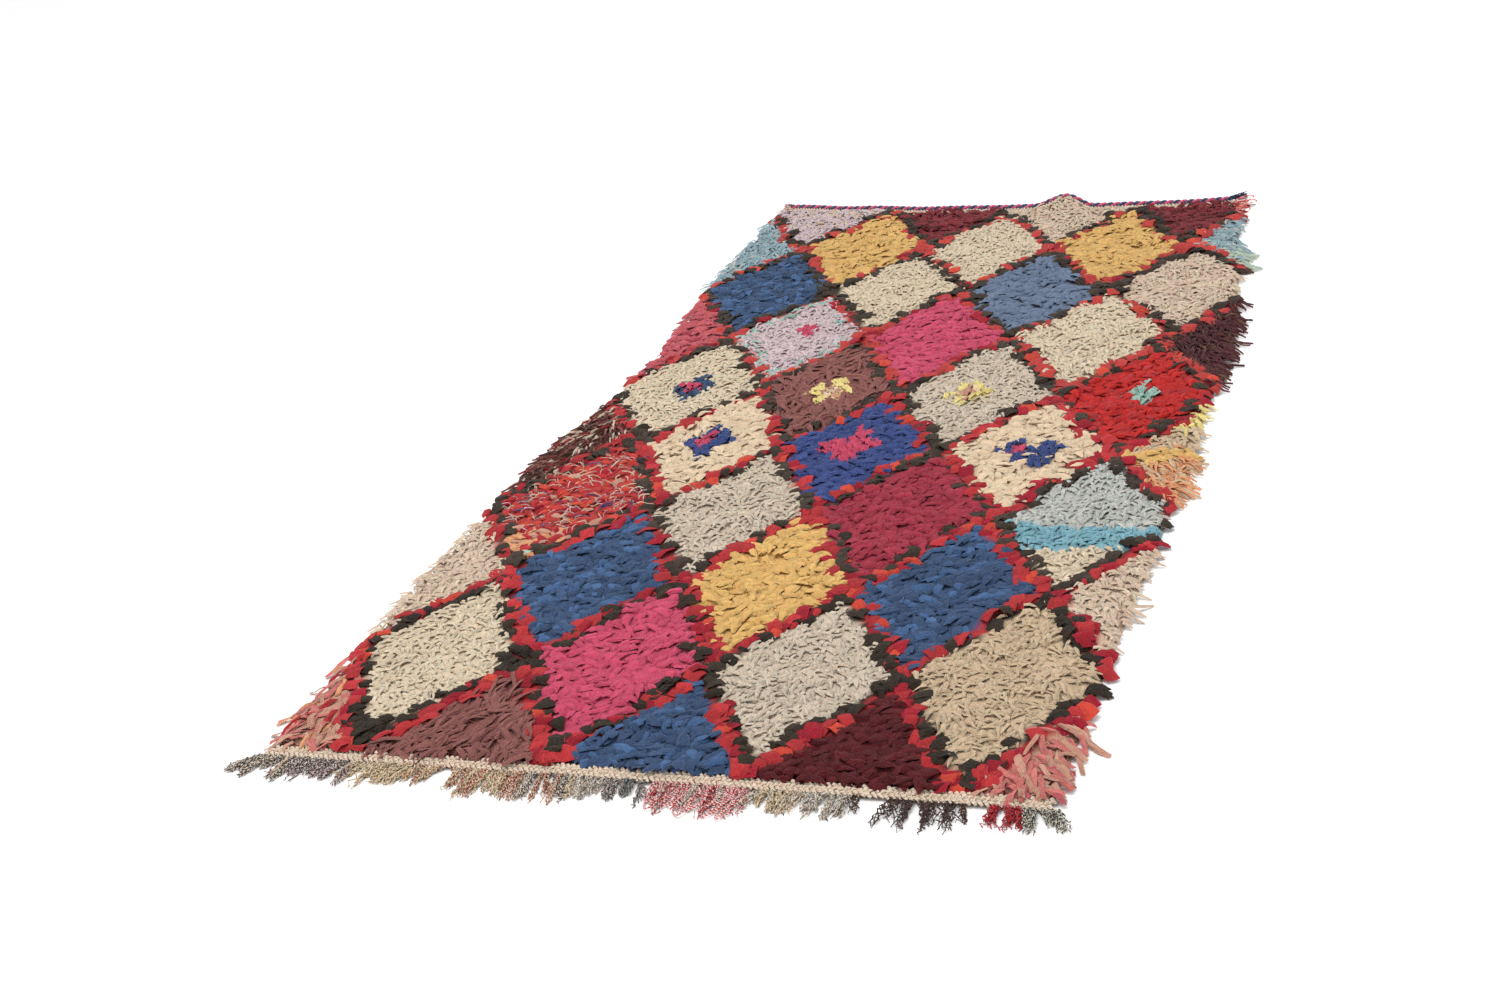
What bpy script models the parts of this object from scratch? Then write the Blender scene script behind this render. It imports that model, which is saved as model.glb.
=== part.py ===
"""Boucherouite rug: a Moroccan rug knotted from strips of rag, lying flat on the floor.

Metres, +Z up. The origin is on the floor under the middle of the rug. +Y points to the far end, which is
finished with a twisted cord, and -Y to the near end, which ends in a raised band and a fringe. The rug is
three solids: the cloth with its shag, the near band with its fringe, and the cord.
"""

import math
import random
from collections import namedtuple

import bmesh
import bpy
from mathutils import Vector

# Cloth and shag
CLOTH_EDGE = 0.003
FAR_BAND_EDGE = 0.002
FAR_BAND_TOP = 0.004
FAR_BAND_WIDTH = 0.046
SHAG_HEIGHT = 0.020
SHAG_RIM_HEIGHT = 0.014
SHAG_LUMP = 0.006
SHAG_RIM_LUMP = 0.002
SHAG_CROWN = 0.005
SHAG_SHIFT = 0.006
SHAG_FAR_SLOPE = 0.010
SHAG_COLOUR = (0.42, 0.10, 0.11, 1)

# The lattice of diamonds that the rows of knots make, which stand a little proud of the lines between them
DIAMOND_WIDTH = 0.311
DIAMOND_LENGTH = 0.544
DIAMOND_MIDDLE_Y = 0.353

# Locks of rag that hang over the rim
SIDE_LOCK_SHORTEST = 0.016
SIDE_LOCK_LONGEST = 0.036
SIDE_LOCK_LEAST_TRAIL = 0.003
SIDE_LOCK_MOST_TRAIL = 0.014
NEAR_LOCK_SHORTEST = 0.008
NEAR_LOCK_LONGEST = 0.015
LOCK_TIP_SHARE = 0.32
LOCK_TIP_THICKNESS = 0.005

# The ruck in the cloth at the far end, hollow underneath
RUCK_X = 0.118
RUCK_LIFT = 0.024
RUCK_REACH = 0.200
RUCK_LEFT_WIDTH = 0.085
RUCK_RIGHT_WIDTH = 0.062
RUCK_LEAN = 0.25

# Near band and its fringe
BAND_WIDTH = 0.025
BAND_HEIGHT = 0.005
BAND_OVERHANG = 0.010
FRINGE_SLOTS = 118
FRINGE_KNEE_SHARE = 0.4
FRINGE_KNEE_WIDTH = 0.62
FRINGE_TIP_WIDTH = 0.36
FRINGE_KNEE_HEIGHT = 0.004
FRINGE_TIP_HEIGHT = 0.0025
FRINGE_FAN = 0.006
FRINGE_STRAY = 0.0015
FRINGE_LEAN_CURVE = 1.5
FRINGE_SHORTEST_SHARE = 0.82
FRINGE_COLOUR = (0.62, 0.52, 0.42, 1)

# Twisted cord of two plies
CORD_WIDTH = 0.013
CORD_WAIST = 0.008
CORD_TWIST_PITCH = 0.043
CORD_STEPS_PER_TURN = 8
CORD_SIDES = 6
CORD_END_REACH = 0.062
CORD_END_TURN = math.radians(48)
CORD_EDGE_POINTS = 120
CORD_END_POINTS = 12
CORD_COLOUR = (0.16, 0.17, 0.34, 1)

# Meshing of the cloth: the underside is a coarse net and the shag a net twice as fine
NET_COLUMNS = 18
NET_ROWS = 38
NET_HALF = 0.5
RUCK_COLUMN = 0.61
RUCK_DRAW = 0.40
RUCK_DRAW_START = 0.75

PIECE_GAP = 0.0003
RANDOM_SEED = 21

Side = namedtuple("Side", "along left right")
End = namedtuple("End", "across near far")
Bunch = namedtuple("Bunch", "start stop reach lean")

# The woven side edges' x, from the near end (0) to the far end (1)
SIDES = (
    Side(along=0.00, left=-0.568, right=0.580),
    Side(along=0.10, left=-0.580, right=0.585),
    Side(along=0.22, left=-0.592, right=0.592),
    Side(along=0.33, left=-0.594, right=0.600),
    Side(along=0.41, left=-0.586, right=0.606),
    Side(along=0.49, left=-0.568, right=0.602),
    Side(along=0.57, left=-0.558, right=0.603),
    Side(along=0.65, left=-0.572, right=0.602),
    Side(along=0.81, left=-0.602, right=0.574),
    Side(along=0.90, left=-0.610, right=0.542),
    Side(along=1.00, left=-0.606, right=0.508),
)

# The woven ends' y, from the left edge (0) to the right edge (1)
ENDS = (
    End(across=0.00, near=-1.250, far=1.318),
    End(across=0.18, near=-1.253, far=1.278),
    End(across=0.36, near=-1.257, far=1.245),
    End(across=0.54, near=-1.263, far=1.229),
    End(across=0.75, near=-1.270, far=1.210),
    End(across=0.90, near=-1.275, far=1.205),
    End(across=1.00, near=-1.278, far=1.213),
)

# The fringe from left to right: where each bunch of strands starts and stops along x, how far it reaches
# and how far its tips lean to the right
BUNCHES = (
    Bunch(start=-0.578, stop=-0.532, reach=0.056, lean=-0.038),
    Bunch(start=-0.532, stop=-0.385, reach=0.066, lean=-0.012),
    Bunch(start=-0.372, stop=-0.277, reach=0.058, lean=-0.018),
    Bunch(start=-0.262, stop=-0.062, reach=0.078, lean=0.004),
    Bunch(start=-0.055, stop=0.028, reach=0.060, lean=0.002),
    Bunch(start=0.042, stop=0.178, reach=0.084, lean=0.004),
    Bunch(start=0.192, stop=0.336, reach=0.062, lean=-0.002),
    Bunch(start=0.372, stop=0.474, reach=0.074, lean=0.003),
    Bunch(start=0.502, stop=0.590, reach=0.054, lean=0.010),
)


def smooth_step(low, high, value):
    """0 below low, 1 above high and an even S between them."""
    share = min(max((value - low) / (high - low), 0.0), 1.0)
    return share * share * (3 - 2 * share)


def read_table(table, key, column, place):
    """A column of a table at a place between its rows, eased from row to row."""
    place = min(max(place, getattr(table[0], key)), getattr(table[-1], key))
    for before, after in zip(table, table[1:]):
        start = getattr(before, key)
        stop = getattr(after, key)
        if place <= stop:
            share = smooth_step(start, stop, place)
            return getattr(before, column) * (1 - share) + getattr(after, column) * share
    return getattr(table[-1], column)


def cloth_point(across, along):
    """The x and y of a place on the cloth, from 0 to 1 each way."""
    left = read_table(SIDES, "along", "left", along)
    right = read_table(SIDES, "along", "right", along)
    near = read_table(ENDS, "across", "near", across)
    far = read_table(ENDS, "across", "far", across)
    return left + (right - left) * across, near + (far - near) * along


def across_of(x, along):
    """How far across the cloth a given x lies, at one place along it."""
    left = read_table(SIDES, "along", "left", along)
    right = read_table(SIDES, "along", "right", along)
    return (x - left) / (right - left)


def ruck_lift(x, y):
    """How high the cloth is pushed up off the floor."""
    inward = read_table(ENDS, "across", "far", across_of(x, 1.0)) - y
    off_crest = x - RUCK_X - RUCK_LEAN * inward
    width = RUCK_LEFT_WIDTH if off_crest < 0 else RUCK_RIGHT_WIDTH
    if abs(off_crest) >= width or inward >= RUCK_REACH:
        return 0.0
    fade = 1 - smooth_step(0.0, RUCK_REACH, inward)
    return RUCK_LIFT * fade * math.cos(math.pi / 2 * off_crest / width) ** 2


def diamond_crown(x, y):
    """1 in the middle of a diamond and 0 on the lines between diamonds."""
    rising = x / DIAMOND_WIDTH + (y - DIAMOND_MIDDLE_Y) / DIAMOND_LENGTH
    falling = x / DIAMOND_WIDTH - (y - DIAMOND_MIDDLE_Y) / DIAMOND_LENGTH
    return abs(math.cos(math.pi * rising) * math.cos(math.pi * falling))


def column_place(share, along):
    """Where a column of the net lies across the cloth. Columns draw together at the ruck."""
    draw = RUCK_DRAW * smooth_step(RUCK_DRAW_START, 1.0, along)
    wave = math.sin(2 * math.pi * (share - RUCK_COLUMN)) + math.sin(2 * math.pi * RUCK_COLUMN)
    return share - draw * wave / (2 * math.pi)


def row_places(count):
    """Where the rows of the net lie along the cloth: the shag's rows, then the foot of the shag's far
    slope and the far end."""
    length = ENDS[0].far - ENDS[0].near
    band_start = 1 - FAR_BAND_WIDTH / length
    shag_end = band_start - SHAG_FAR_SLOPE / length
    return [shag_end * row / (count - 2) for row in range(count - 1)] + [band_start, 1.0]


def new_piece(name, bm, colour, roughness):
    """Makes an object with a material of its own from a finished bmesh."""
    bmesh.ops.recalc_face_normals(bm, faces=bm.faces)
    bmesh.ops.triangulate(bm, faces=bm.faces)
    mesh = bpy.data.meshes.new(name)
    bm.to_mesh(mesh)
    bm.free()
    material = bpy.data.materials.new(name)
    material.use_nodes = True
    shader = material.node_tree.nodes["Principled BSDF"]
    shader.inputs["Base Color"].default_value = colour
    shader.inputs["Roughness"].default_value = roughness
    shader.inputs["Metallic"].default_value = 0.0
    mesh.materials.append(material)
    piece = bpy.data.objects.new(name, mesh)
    bpy.context.collection.objects.link(piece)
    return piece


def net_solid():
    """The cloth as a unit net of three tiers, at z 0, 1 and 2: underside, woven edge and shag. Returns it
    with the column, row and tier of each vertex."""
    bm = bmesh.new()
    bmesh.ops.create_grid(bm, x_segments=NET_COLUMNS, y_segments=NET_ROWS, size=NET_HALF)
    top = list(bm.faces)
    for tier in (1, 2):
        raised = bmesh.ops.extrude_face_region(bm, geom=top)["geom"]
        if tier == 2:
            bmesh.ops.delete(bm, geom=top, context="FACES")
        top = [item for item in raised if isinstance(item, bmesh.types.BMFace)]
        corners = [item for item in raised if isinstance(item, bmesh.types.BMVert)]
        bmesh.ops.translate(bm, verts=corners, vec=(0, 0, 1))
    rim_line = NET_HALF * 0.99
    ruck_line = NET_HALF - RUCK_REACH / (ENDS[0].far - ENDS[0].near)
    fine = []
    for edge in bm.edges:
        levels = {round(vert.co.z) for vert in edge.verts}
        on_rim = all(max(abs(vert.co.x), abs(vert.co.y)) > rim_line for vert in edge.verts)
        at_ruck = all(vert.co.y > ruck_line for vert in edge.verts)
        if len(levels) == 1 and (2 in levels or on_rim or at_ruck):
            fine.append(edge)
    bmesh.ops.subdivide_edges(bm, edges=fine, cuts=1, use_grid_fill=True, use_single_edge=True)
    columns = 2 * NET_COLUMNS
    rows = 2 * NET_ROWS
    places = {}
    for vert in bm.verts:
        column = round((vert.co.x + NET_HALF) * columns)
        row = round((vert.co.y + NET_HALF) * rows)
        places[vert] = (column, row, round(vert.co.z))
    return bm, places, columns, rows


def shag_rug():
    """The cloth with its far band, its lumpy shag and the locks of rag around the rim."""
    chance = random.Random(RANDOM_SEED)
    bm, places, columns, rows = net_solid()
    row_place = row_places(rows)
    shag_rows = rows - 2
    lump = [[chance.uniform(-1, 1) for _ in range(columns + 1)] for _ in range(rows + 1)]
    slide = [[chance.uniform(-1, 1) for _ in range(columns + 1)] for _ in range(rows + 1)]
    for vert, (column, row, tier) in places.items():
        along = row_place[row]
        across = column_place(column / columns, along)
        x, y = cloth_point(across, along)
        floor = ruck_lift(x, y)
        on_side = column in (0, columns)
        on_rim = on_side or row in (0, shag_rows)
        in_band = row > shag_rows
        if tier == 0:
            height = 0.0
        elif tier == 1 and row == 0:
            height = BAND_HEIGHT + 2 * PIECE_GAP
        elif tier == 1:
            height = FAR_BAND_EDGE if in_band else CLOTH_EDGE
        elif in_band:
            height = FAR_BAND_TOP
        elif on_rim:
            height = SHAG_RIM_HEIGHT + SHAG_RIM_LUMP * lump[row][column]
        else:
            height = SHAG_HEIGHT + SHAG_LUMP * lump[row][column] + SHAG_CROWN * diamond_crown(x, y)
            x += SHAG_SHIFT * slide[row][column]
            y += SHAG_SHIFT * slide[row][column - 1]
        vert.co = (x, y, floor + height)
    bm.normal_update()
    left_wall = wall_faces(bm, places, lambda column, row: column == 0 and row <= shag_rows)
    right_wall = wall_faces(bm, places, lambda column, row: column == columns and row <= shag_rows)
    near_wall = wall_faces(bm, places, lambda column, row: row == 0)
    add_side_locks(bm, left_wall, -1, chance)
    add_side_locks(bm, right_wall, 1, chance)
    add_near_locks(bm, near_wall, chance)
    return new_piece("shag_rug", bm, SHAG_COLOUR, 0.95)


def in_order(faces):
    """Faces from the near end to the far end and from left to right, however the mesh lists them."""
    def place(face):
        middle = face.calc_center_median()
        return round(middle.y, 5), round(middle.x, 5)
    return sorted(faces, key=place)


def wall_faces(bm, places, is_there):
    """The faces of the shag's outer wall, above the woven edge, on one side of the rug."""
    found = []
    for face in bm.faces:
        spots = [places[vert] for vert in face.verts]
        tiers = {tier for _, _, tier in spots}
        if tiers == {1, 2} and all(is_there(column, row) for column, row, _ in spots):
            found.append(face)
    return in_order(found)


def pull_lock(bm, face, tip_middle, run, low, high):
    """Draws one wall face out into a lock that tapers to a tip, which runs along the given direction."""
    root_middle = face.calc_center_median()
    tip = bmesh.ops.extrude_discrete_faces(bm, faces=[face])["faces"][0]
    for vert in tip.verts:
        sideways = (vert.co - root_middle).dot(run) * LOCK_TIP_SHARE
        is_high = vert.co.z > root_middle.z
        vert.co = Vector(tip_middle) + run * sideways
        vert.co.z = high if is_high else low


def add_side_locks(bm, wall, outward, chance):
    """Locks along a side edge, which reach out and lie down on the floor."""
    for face in wall:
        middle = face.calc_center_median()
        reach = chance.uniform(SIDE_LOCK_SHORTEST, SIDE_LOCK_LONGEST)
        trail = chance.uniform(SIDE_LOCK_LEAST_TRAIL, SIDE_LOCK_MOST_TRAIL)
        tip_middle = (middle.x + outward * reach, middle.y - trail, 0)
        pull_lock(bm, face, tip_middle, Vector((0, 1, 0)), 0.0, LOCK_TIP_THICKNESS)


def add_near_locks(bm, wall, chance):
    """Short locks along the near edge, which hang over the band."""
    low = BAND_HEIGHT + 2 * PIECE_GAP
    for face in wall:
        middle = face.calc_center_median()
        reach = chance.uniform(NEAR_LOCK_SHORTEST, NEAR_LOCK_LONGEST)
        tip_middle = (middle.x, middle.y - reach, 0)
        pull_lock(bm, face, tip_middle, Vector((1, 0, 0)), low, low + LOCK_TIP_THICKNESS)


def bunch_at(x):
    """The bunch of fringe that hangs at a given x, if any does."""
    for bunch in BUNCHES:
        if bunch.start <= x <= bunch.stop:
            return bunch
    return None


def near_fringe():
    """The raised band at the near end and the strands that hang from it, lying level on the floor."""
    chance = random.Random(RANDOM_SEED + 1)
    bm = bmesh.new()
    bmesh.ops.create_grid(bm, x_segments=FRINGE_SLOTS, y_segments=1, size=NET_HALF)
    raised = bmesh.ops.extrude_face_region(bm, geom=list(bm.faces))["geom"]
    top = [item for item in raised if isinstance(item, bmesh.types.BMVert)]
    bmesh.ops.translate(bm, verts=top, vec=(0, 0, BAND_HEIGHT))
    start = SIDES[0].left - BAND_OVERHANG
    stop = SIDES[0].right + BAND_OVERHANG
    near_wall = in_order(face for face in bm.faces if all(vert.co.y < 0 for vert in face.verts))
    for vert in bm.verts:
        x = start + (stop - start) * (vert.co.x + NET_HALF)
        back = read_table(ENDS, "across", "near", across_of(x, 0.0)) - PIECE_GAP
        y = back if vert.co.y > 0 else back - BAND_WIDTH
        vert.co = (x, y, vert.co.z)
    for face in near_wall:
        add_strand(bm, face, chance)
    return new_piece("near_fringe", bm, FRINGE_COLOUR, 0.9)


def add_strand(bm, face, chance):
    """One strand of four sides in two stretches, or nothing where the fringe has a gap."""
    root = face.calc_center_median()
    bunch = bunch_at(root.x)
    if bunch is None:
        return
    reach = bunch.reach * chance.uniform(FRINGE_SHORTEST_SHARE, 1.0)
    in_bunch = (root.x - bunch.start) / (bunch.stop - bunch.start) - 0.5
    lean = bunch.lean + FRINGE_FAN * in_bunch + chance.uniform(-FRINGE_STRAY, FRINGE_STRAY)
    stretches = (
        (FRINGE_KNEE_SHARE, FRINGE_KNEE_WIDTH, FRINGE_KNEE_HEIGHT),
        (1.0, FRINGE_TIP_WIDTH, FRINGE_TIP_HEIGHT),
    )
    half_width = max(vert.co.x for vert in face.verts) - root.x
    for share, width, height in stretches:
        face = bmesh.ops.extrude_discrete_faces(bm, faces=[face])["faces"][0]
        middle = face.calc_center_median()
        for vert in face.verts:
            side = 1 if vert.co.x > middle.x else -1
            high = vert.co.z > middle.z
            x = root.x + lean * share ** FRINGE_LEAN_CURVE + side * half_width * width
            vert.co = (x, root.y - reach * share, height if high else 0.0)


def cord_route():
    """The cord's middle line along the far end and out past the right-hand corner, as close points."""
    points = []
    for step in range(CORD_EDGE_POINTS + 1):
        x, edge = cloth_point(step / CORD_EDGE_POINTS, 1.0)
        points.append(Vector((x, edge + CORD_WIDTH / 2 + PIECE_GAP, ruck_lift(x, edge) + CORD_WIDTH / 2)))
    for step in range(CORD_END_POINTS):
        heading = CORD_END_TURN * smooth_step(0, CORD_END_POINTS / 2, step)
        forward = Vector((math.cos(heading), math.sin(heading), 0))
        points.append(points[-1] + forward * CORD_END_REACH / CORD_END_POINTS)
    return points


def point_at(points, distance):
    """The place and direction at a distance along a line of points."""
    for start, stop in zip(points, points[1:]):
        length = (stop - start).length
        if distance <= length:
            return start.lerp(stop, distance / length), (stop - start).normalized()
        distance -= length
    return points[-1].copy(), (points[-1] - points[-2]).normalized()


def far_cord():
    """The two-ply cord: an oval section that turns as it goes, so that its plies stand out."""
    points = cord_route()
    total = sum((stop - start).length for start, stop in zip(points, points[1:]))
    rings = round(total / CORD_TWIST_PITCH * CORD_STEPS_PER_TURN)
    bm = bmesh.new()
    last_ring = None
    for ring in range(rings + 1):
        place, forward = point_at(points, total * ring / rings)
        side = forward.cross(Vector((0, 0, 1))).normalized()
        up = side.cross(forward)
        twist = 2 * math.pi * ring / CORD_STEPS_PER_TURN
        verts = []
        for corner in range(CORD_SIDES):
            turn = 2 * math.pi * corner / CORD_SIDES
            wide = math.cos(turn) * CORD_WIDTH / 2
            thin = math.sin(turn) * CORD_WAIST / 2
            sideways = wide * math.cos(twist) - thin * math.sin(twist)
            upward = wide * math.sin(twist) + thin * math.cos(twist)
            verts.append(bm.verts.new(place + side * sideways + up * upward))
        if last_ring is None:
            bm.faces.new(verts)
        else:
            for corner in range(CORD_SIDES):
                following = (corner + 1) % CORD_SIDES
                bm.faces.new((last_ring[corner], last_ring[following], verts[following], verts[corner]))
        last_ring = verts
    bm.faces.new(last_ring)
    return new_piece("far_cord", bm, CORD_COLOUR, 0.85)


def main():
    for thing in list(bpy.data.objects):
        bpy.data.objects.remove(thing)
    shag_rug()
    near_fringe()
    far_cord()


main()
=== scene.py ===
# %% [markdown]
# # A boucherouite rug
#
# A boucherouite is a Moroccan rug knotted from strips of worn-out clothes. The weaver ties short rags
# onto a plain wool ground in rows, and lets them fall over each other towards the near end. Its solids
# are already packed: a lumpy slab for the shag, a strip with strands for the near band and fringe, and a
# twisted cord along the far end. This lesson lays the real rags, yarns and stitches in their place.
#
# Nothing here moves or resizes the imported solids, so the first step is to load them as a fixed frame.

# %% Load the imported solids as a fixed frame
import math
from collections import namedtuple

import bmesh
import bpy
import numpy as np
from mathutils import Matrix, Vector


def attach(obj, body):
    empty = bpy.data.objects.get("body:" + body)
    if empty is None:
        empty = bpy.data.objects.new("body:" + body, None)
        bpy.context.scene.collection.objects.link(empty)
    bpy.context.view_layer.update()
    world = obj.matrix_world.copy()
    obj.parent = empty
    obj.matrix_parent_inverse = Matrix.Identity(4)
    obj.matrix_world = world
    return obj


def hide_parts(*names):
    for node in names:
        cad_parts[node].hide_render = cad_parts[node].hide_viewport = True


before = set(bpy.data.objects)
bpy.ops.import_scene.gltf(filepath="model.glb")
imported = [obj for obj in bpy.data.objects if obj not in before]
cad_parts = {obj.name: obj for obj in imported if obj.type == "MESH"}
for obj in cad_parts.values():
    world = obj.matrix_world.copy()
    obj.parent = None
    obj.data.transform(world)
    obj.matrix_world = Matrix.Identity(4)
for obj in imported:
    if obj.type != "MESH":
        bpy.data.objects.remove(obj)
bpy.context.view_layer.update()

# %% [markdown]
# ## The camera
#
# The rug is photographed from a stand near its near right corner, a little above it, with the camera
# tilted. The place and the turn follow from how the four corners of a 1.2 by 2.5 m rug fall in the
# picture. The turn is built from three simple ones: round the floor's upright, down towards the rug, and
# a roll about the line of sight.

# %% Place the camera at the photograph's angle
CAMERA_PLACE = (1.1343, -3.4388, 1.4285)
CAMERA_HEADING = math.radians(22.4866)
CAMERA_DOWN = math.radians(23.4119)
CAMERA_ROLL = math.radians(-9.1511)
CAMERA_LENS = 50
CAMERA_SENSOR = 36

upright = Matrix.Rotation(CAMERA_HEADING, 4, "Z")
tilt = Matrix.Rotation(math.pi / 2 - CAMERA_DOWN, 4, "X")
roll = Matrix.Rotation(CAMERA_ROLL, 4, "Z")
bpy.ops.object.select_all(action="DESELECT")
bpy.ops.object.camera_add(location=CAMERA_PLACE, rotation=(upright @ tilt @ roll).to_euler())
camera = bpy.context.object
camera.name = "camera"
camera.data.lens = CAMERA_LENS
camera.data.sensor_width = CAMERA_SENSOR
bpy.context.scene.camera = camera
print("The camera stands", round(camera.location.length, 2), "m from the middle of the rug")

# %% [markdown]
# ## Floor and light
#
# A shaggy surface is read by the small shadows between its rags. One big soft lamp overhead keeps those
# shadows short and blurred, and a bright even sky fills them, as the white walls of a studio would. The
# Standard view keeps dyed colours as they are mixed, where a filmic one would wash them out.

# %% Set a plain floor, a soft overhead lamp and an even sky
FLOOR_SIZE = 40
FLOOR_COLOUR = (0.93, 0.93, 0.93, 1)
FLOOR_ROUGHNESS = 0.9
SKY_COLOUR = (1, 1, 1, 1)
SKY_STRENGTH = 1.05
LAMP_PLACE = (-0.4, -0.9, 3.8)
LAMP_AIM = (0.0, 0.0, 0.0)
LAMP_SIZE = 2.4
LAMP_POWER = 78

bpy.context.scene.view_settings.view_transform = "Standard"
bpy.ops.mesh.primitive_plane_add(size=FLOOR_SIZE)
floor = bpy.context.object
floor.name = "floor"
floor_paint = bpy.data.materials.new("floor_paint")
floor_paint.use_nodes = True
floor_shader = floor_paint.node_tree.nodes["Principled BSDF"]
floor_shader.inputs["Base Color"].default_value = FLOOR_COLOUR
floor_shader.inputs["Roughness"].default_value = FLOOR_ROUGHNESS
floor.data.materials.append(floor_paint)

sky = bpy.data.worlds.new("sky")
sky.use_nodes = True
background = sky.node_tree.nodes["Background"]
background.inputs["Strength"].default_value = SKY_STRENGTH
background.inputs["Color"].default_value = SKY_COLOUR
bpy.context.scene.world = sky
aim = (Vector(LAMP_PLACE) - Vector(LAMP_AIM)).to_track_quat("Z", "Y").to_euler()
bpy.ops.object.light_add(type="AREA", location=LAMP_PLACE, rotation=aim)
lamp = bpy.context.object
lamp.name = "overhead_lamp"
lamp.data.shape = "DISK"
lamp.data.size = LAMP_SIZE
lamp.data.energy = LAMP_POWER
print("Floor, sky and one lamp of", LAMP_SIZE, "m")

# %% [markdown]
# ## The outline of the cloth
#
# The ground cloth was woven by hand, so its sides wander and its ends aren't square. Two short tables
# say where the sides and the ends lie, and everything else is placed by how far across and along the
# cloth it is. Working with whole arrays of places keeps thousands of knots quick to lay.

# %% The sides and ends of the woven ground
Side = namedtuple("Side", "along left right")
End = namedtuple("End", "across near far")
SIDES = (
    Side(along=0.00, left=-0.568, right=0.580),
    Side(along=0.10, left=-0.580, right=0.585),
    Side(along=0.22, left=-0.592, right=0.592),
    Side(along=0.33, left=-0.594, right=0.600),
    Side(along=0.41, left=-0.586, right=0.606),
    Side(along=0.49, left=-0.568, right=0.602),
    Side(along=0.57, left=-0.558, right=0.603),
    Side(along=0.65, left=-0.572, right=0.602),
    Side(along=0.81, left=-0.602, right=0.574),
    Side(along=0.90, left=-0.610, right=0.542),
    Side(along=1.00, left=-0.606, right=0.508),
)
ENDS = (
    End(across=0.00, near=-1.250, far=1.318),
    End(across=0.18, near=-1.253, far=1.278),
    End(across=0.36, near=-1.257, far=1.245),
    End(across=0.54, near=-1.263, far=1.229),
    End(across=0.75, near=-1.270, far=1.210),
    End(across=0.90, near=-1.275, far=1.205),
    End(across=1.00, near=-1.278, far=1.213),
)
CLOSING_STEPS = 4


def ease(low, high, value):
    """0 below low, 1 above high and an even S between them."""
    share = np.clip((value - low) / (high - low), 0.0, 1.0)
    return share * share * (3 - 2 * share)


def read_table(table, key, column, place):
    """A column of a table at places between its rows, eased from row to row."""
    keys = np.array([getattr(row, key) for row in table])
    values = np.array([getattr(row, column) for row in table])
    after = np.clip(np.searchsorted(keys, place), 1, len(keys) - 1)
    share = ease(keys[after - 1], keys[after], place)
    return values[after - 1] * (1 - share) + values[after] * share


def sides_at(along):
    """The x of the left and the right side at shares of the length."""
    return read_table(SIDES, "along", "left", along), read_table(SIDES, "along", "right", along)


def ends_at(across):
    """The y of the near and the far end at shares of the width."""
    return read_table(ENDS, "across", "near", across), read_table(ENDS, "across", "far", across)


def end_y(x, end):
    """The y of the woven end, near or far, at given x."""
    left, right = sides_at(1.0 if end == "far" else 0.0)
    return read_table(ENDS, "across", end, (x - left) / (right - left))


def cloth_point(across, along):
    """The x and y of places on the cloth, from 0 to 1 each way."""
    left, right = sides_at(along)
    near, far = ends_at(across)
    return left + (right - left) * across, near + (far - near) * along


def cloth_share(x, y):
    """How far across and along the cloth places lie, found by closing in from the middle."""
    across = np.full_like(x, 0.5)
    for _ in range(CLOSING_STEPS):
        near, far = ends_at(across)
        along = (y - near) / (far - near)
        left, right = sides_at(along)
        across = (x - left) / (right - left)
    return across, along


print("The cloth is", round(float(cloth_point(0.5, 1.0)[1] - cloth_point(0.5, 0.0)[1]), 3), "m long")

# %% [markdown]
# ## The ruck
#
# Near the far end the cloth doesn't lie flat: a soft wave stands up off the floor and dies out towards
# the middle. It is a single hump, steeper on its right side, and everything at the far end rides on it.

# %% The height of the cloth above the floor
RUCK_X = 0.118
RUCK_LIFT = 0.024
RUCK_REACH = 0.200
RUCK_LEFT_WIDTH = 0.085
RUCK_RIGHT_WIDTH = 0.062
RUCK_LEAN = 0.25


def ruck_lift(x, y):
    """How high the cloth is pushed up at each place."""
    inward = end_y(x, "far") - y
    off_crest = x - RUCK_X - RUCK_LEAN * inward
    width = np.where(off_crest < 0, RUCK_LEFT_WIDTH, RUCK_RIGHT_WIDTH)
    fade = 1 - ease(0.0, RUCK_REACH, inward)
    hump = np.cos(np.clip(off_crest / width, -1, 1) * math.pi / 2) ** 2
    return RUCK_LIFT * fade * hump


print("The ruck stands", 1000 * RUCK_LIFT, "mm off the floor")

# %% [markdown]
# ## Drift
#
# Hand work is never quite even, but it isn't noisy either: rows wander and the pile stands taller in one
# patch than in the next. A few long waves added up, each in a direction of its own, give such a slow
# change. Each use has its own seed, so that its patches lie elsewhere.

# %% A value that drifts from patch to patch
DRIFT_WAVES = 6
DRIFT_LENGTHS = (1.4, 3.0)
DRIFT_HEIGHT = 2.6
SEED_WANDER_X, SEED_WANDER_Y, SEED_SWIRL, SEED_PILE, SEED_CLUMP, SEED_CLUMP_TURN, SEED_BAND = range(11, 18)


def drift(x, y, size, seed):
    """A smooth random value of about -1 to 1 that changes over patches of a given size."""
    waves = np.random.default_rng(seed)
    total = np.zeros_like(x)
    for _ in range(DRIFT_WAVES):
        turn = waves.uniform(0, 2 * math.pi)
        start = waves.uniform(0, 2 * math.pi)
        length = size * waves.uniform(*DRIFT_LENGTHS)
        total += np.sin((x * math.cos(turn) + y * math.sin(turn)) * 2 * math.pi / length + start)
    return total / DRIFT_HEIGHT


drift_map = drift(*np.meshgrid(np.linspace(-0.6, 0.6, 40), np.linspace(-1.2, 1.2, 80)), 0.12, SEED_SWIRL)
print("Drift runs from", round(float(drift_map.min()), 2), "to", round(float(drift_map.max()), 2))

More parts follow.
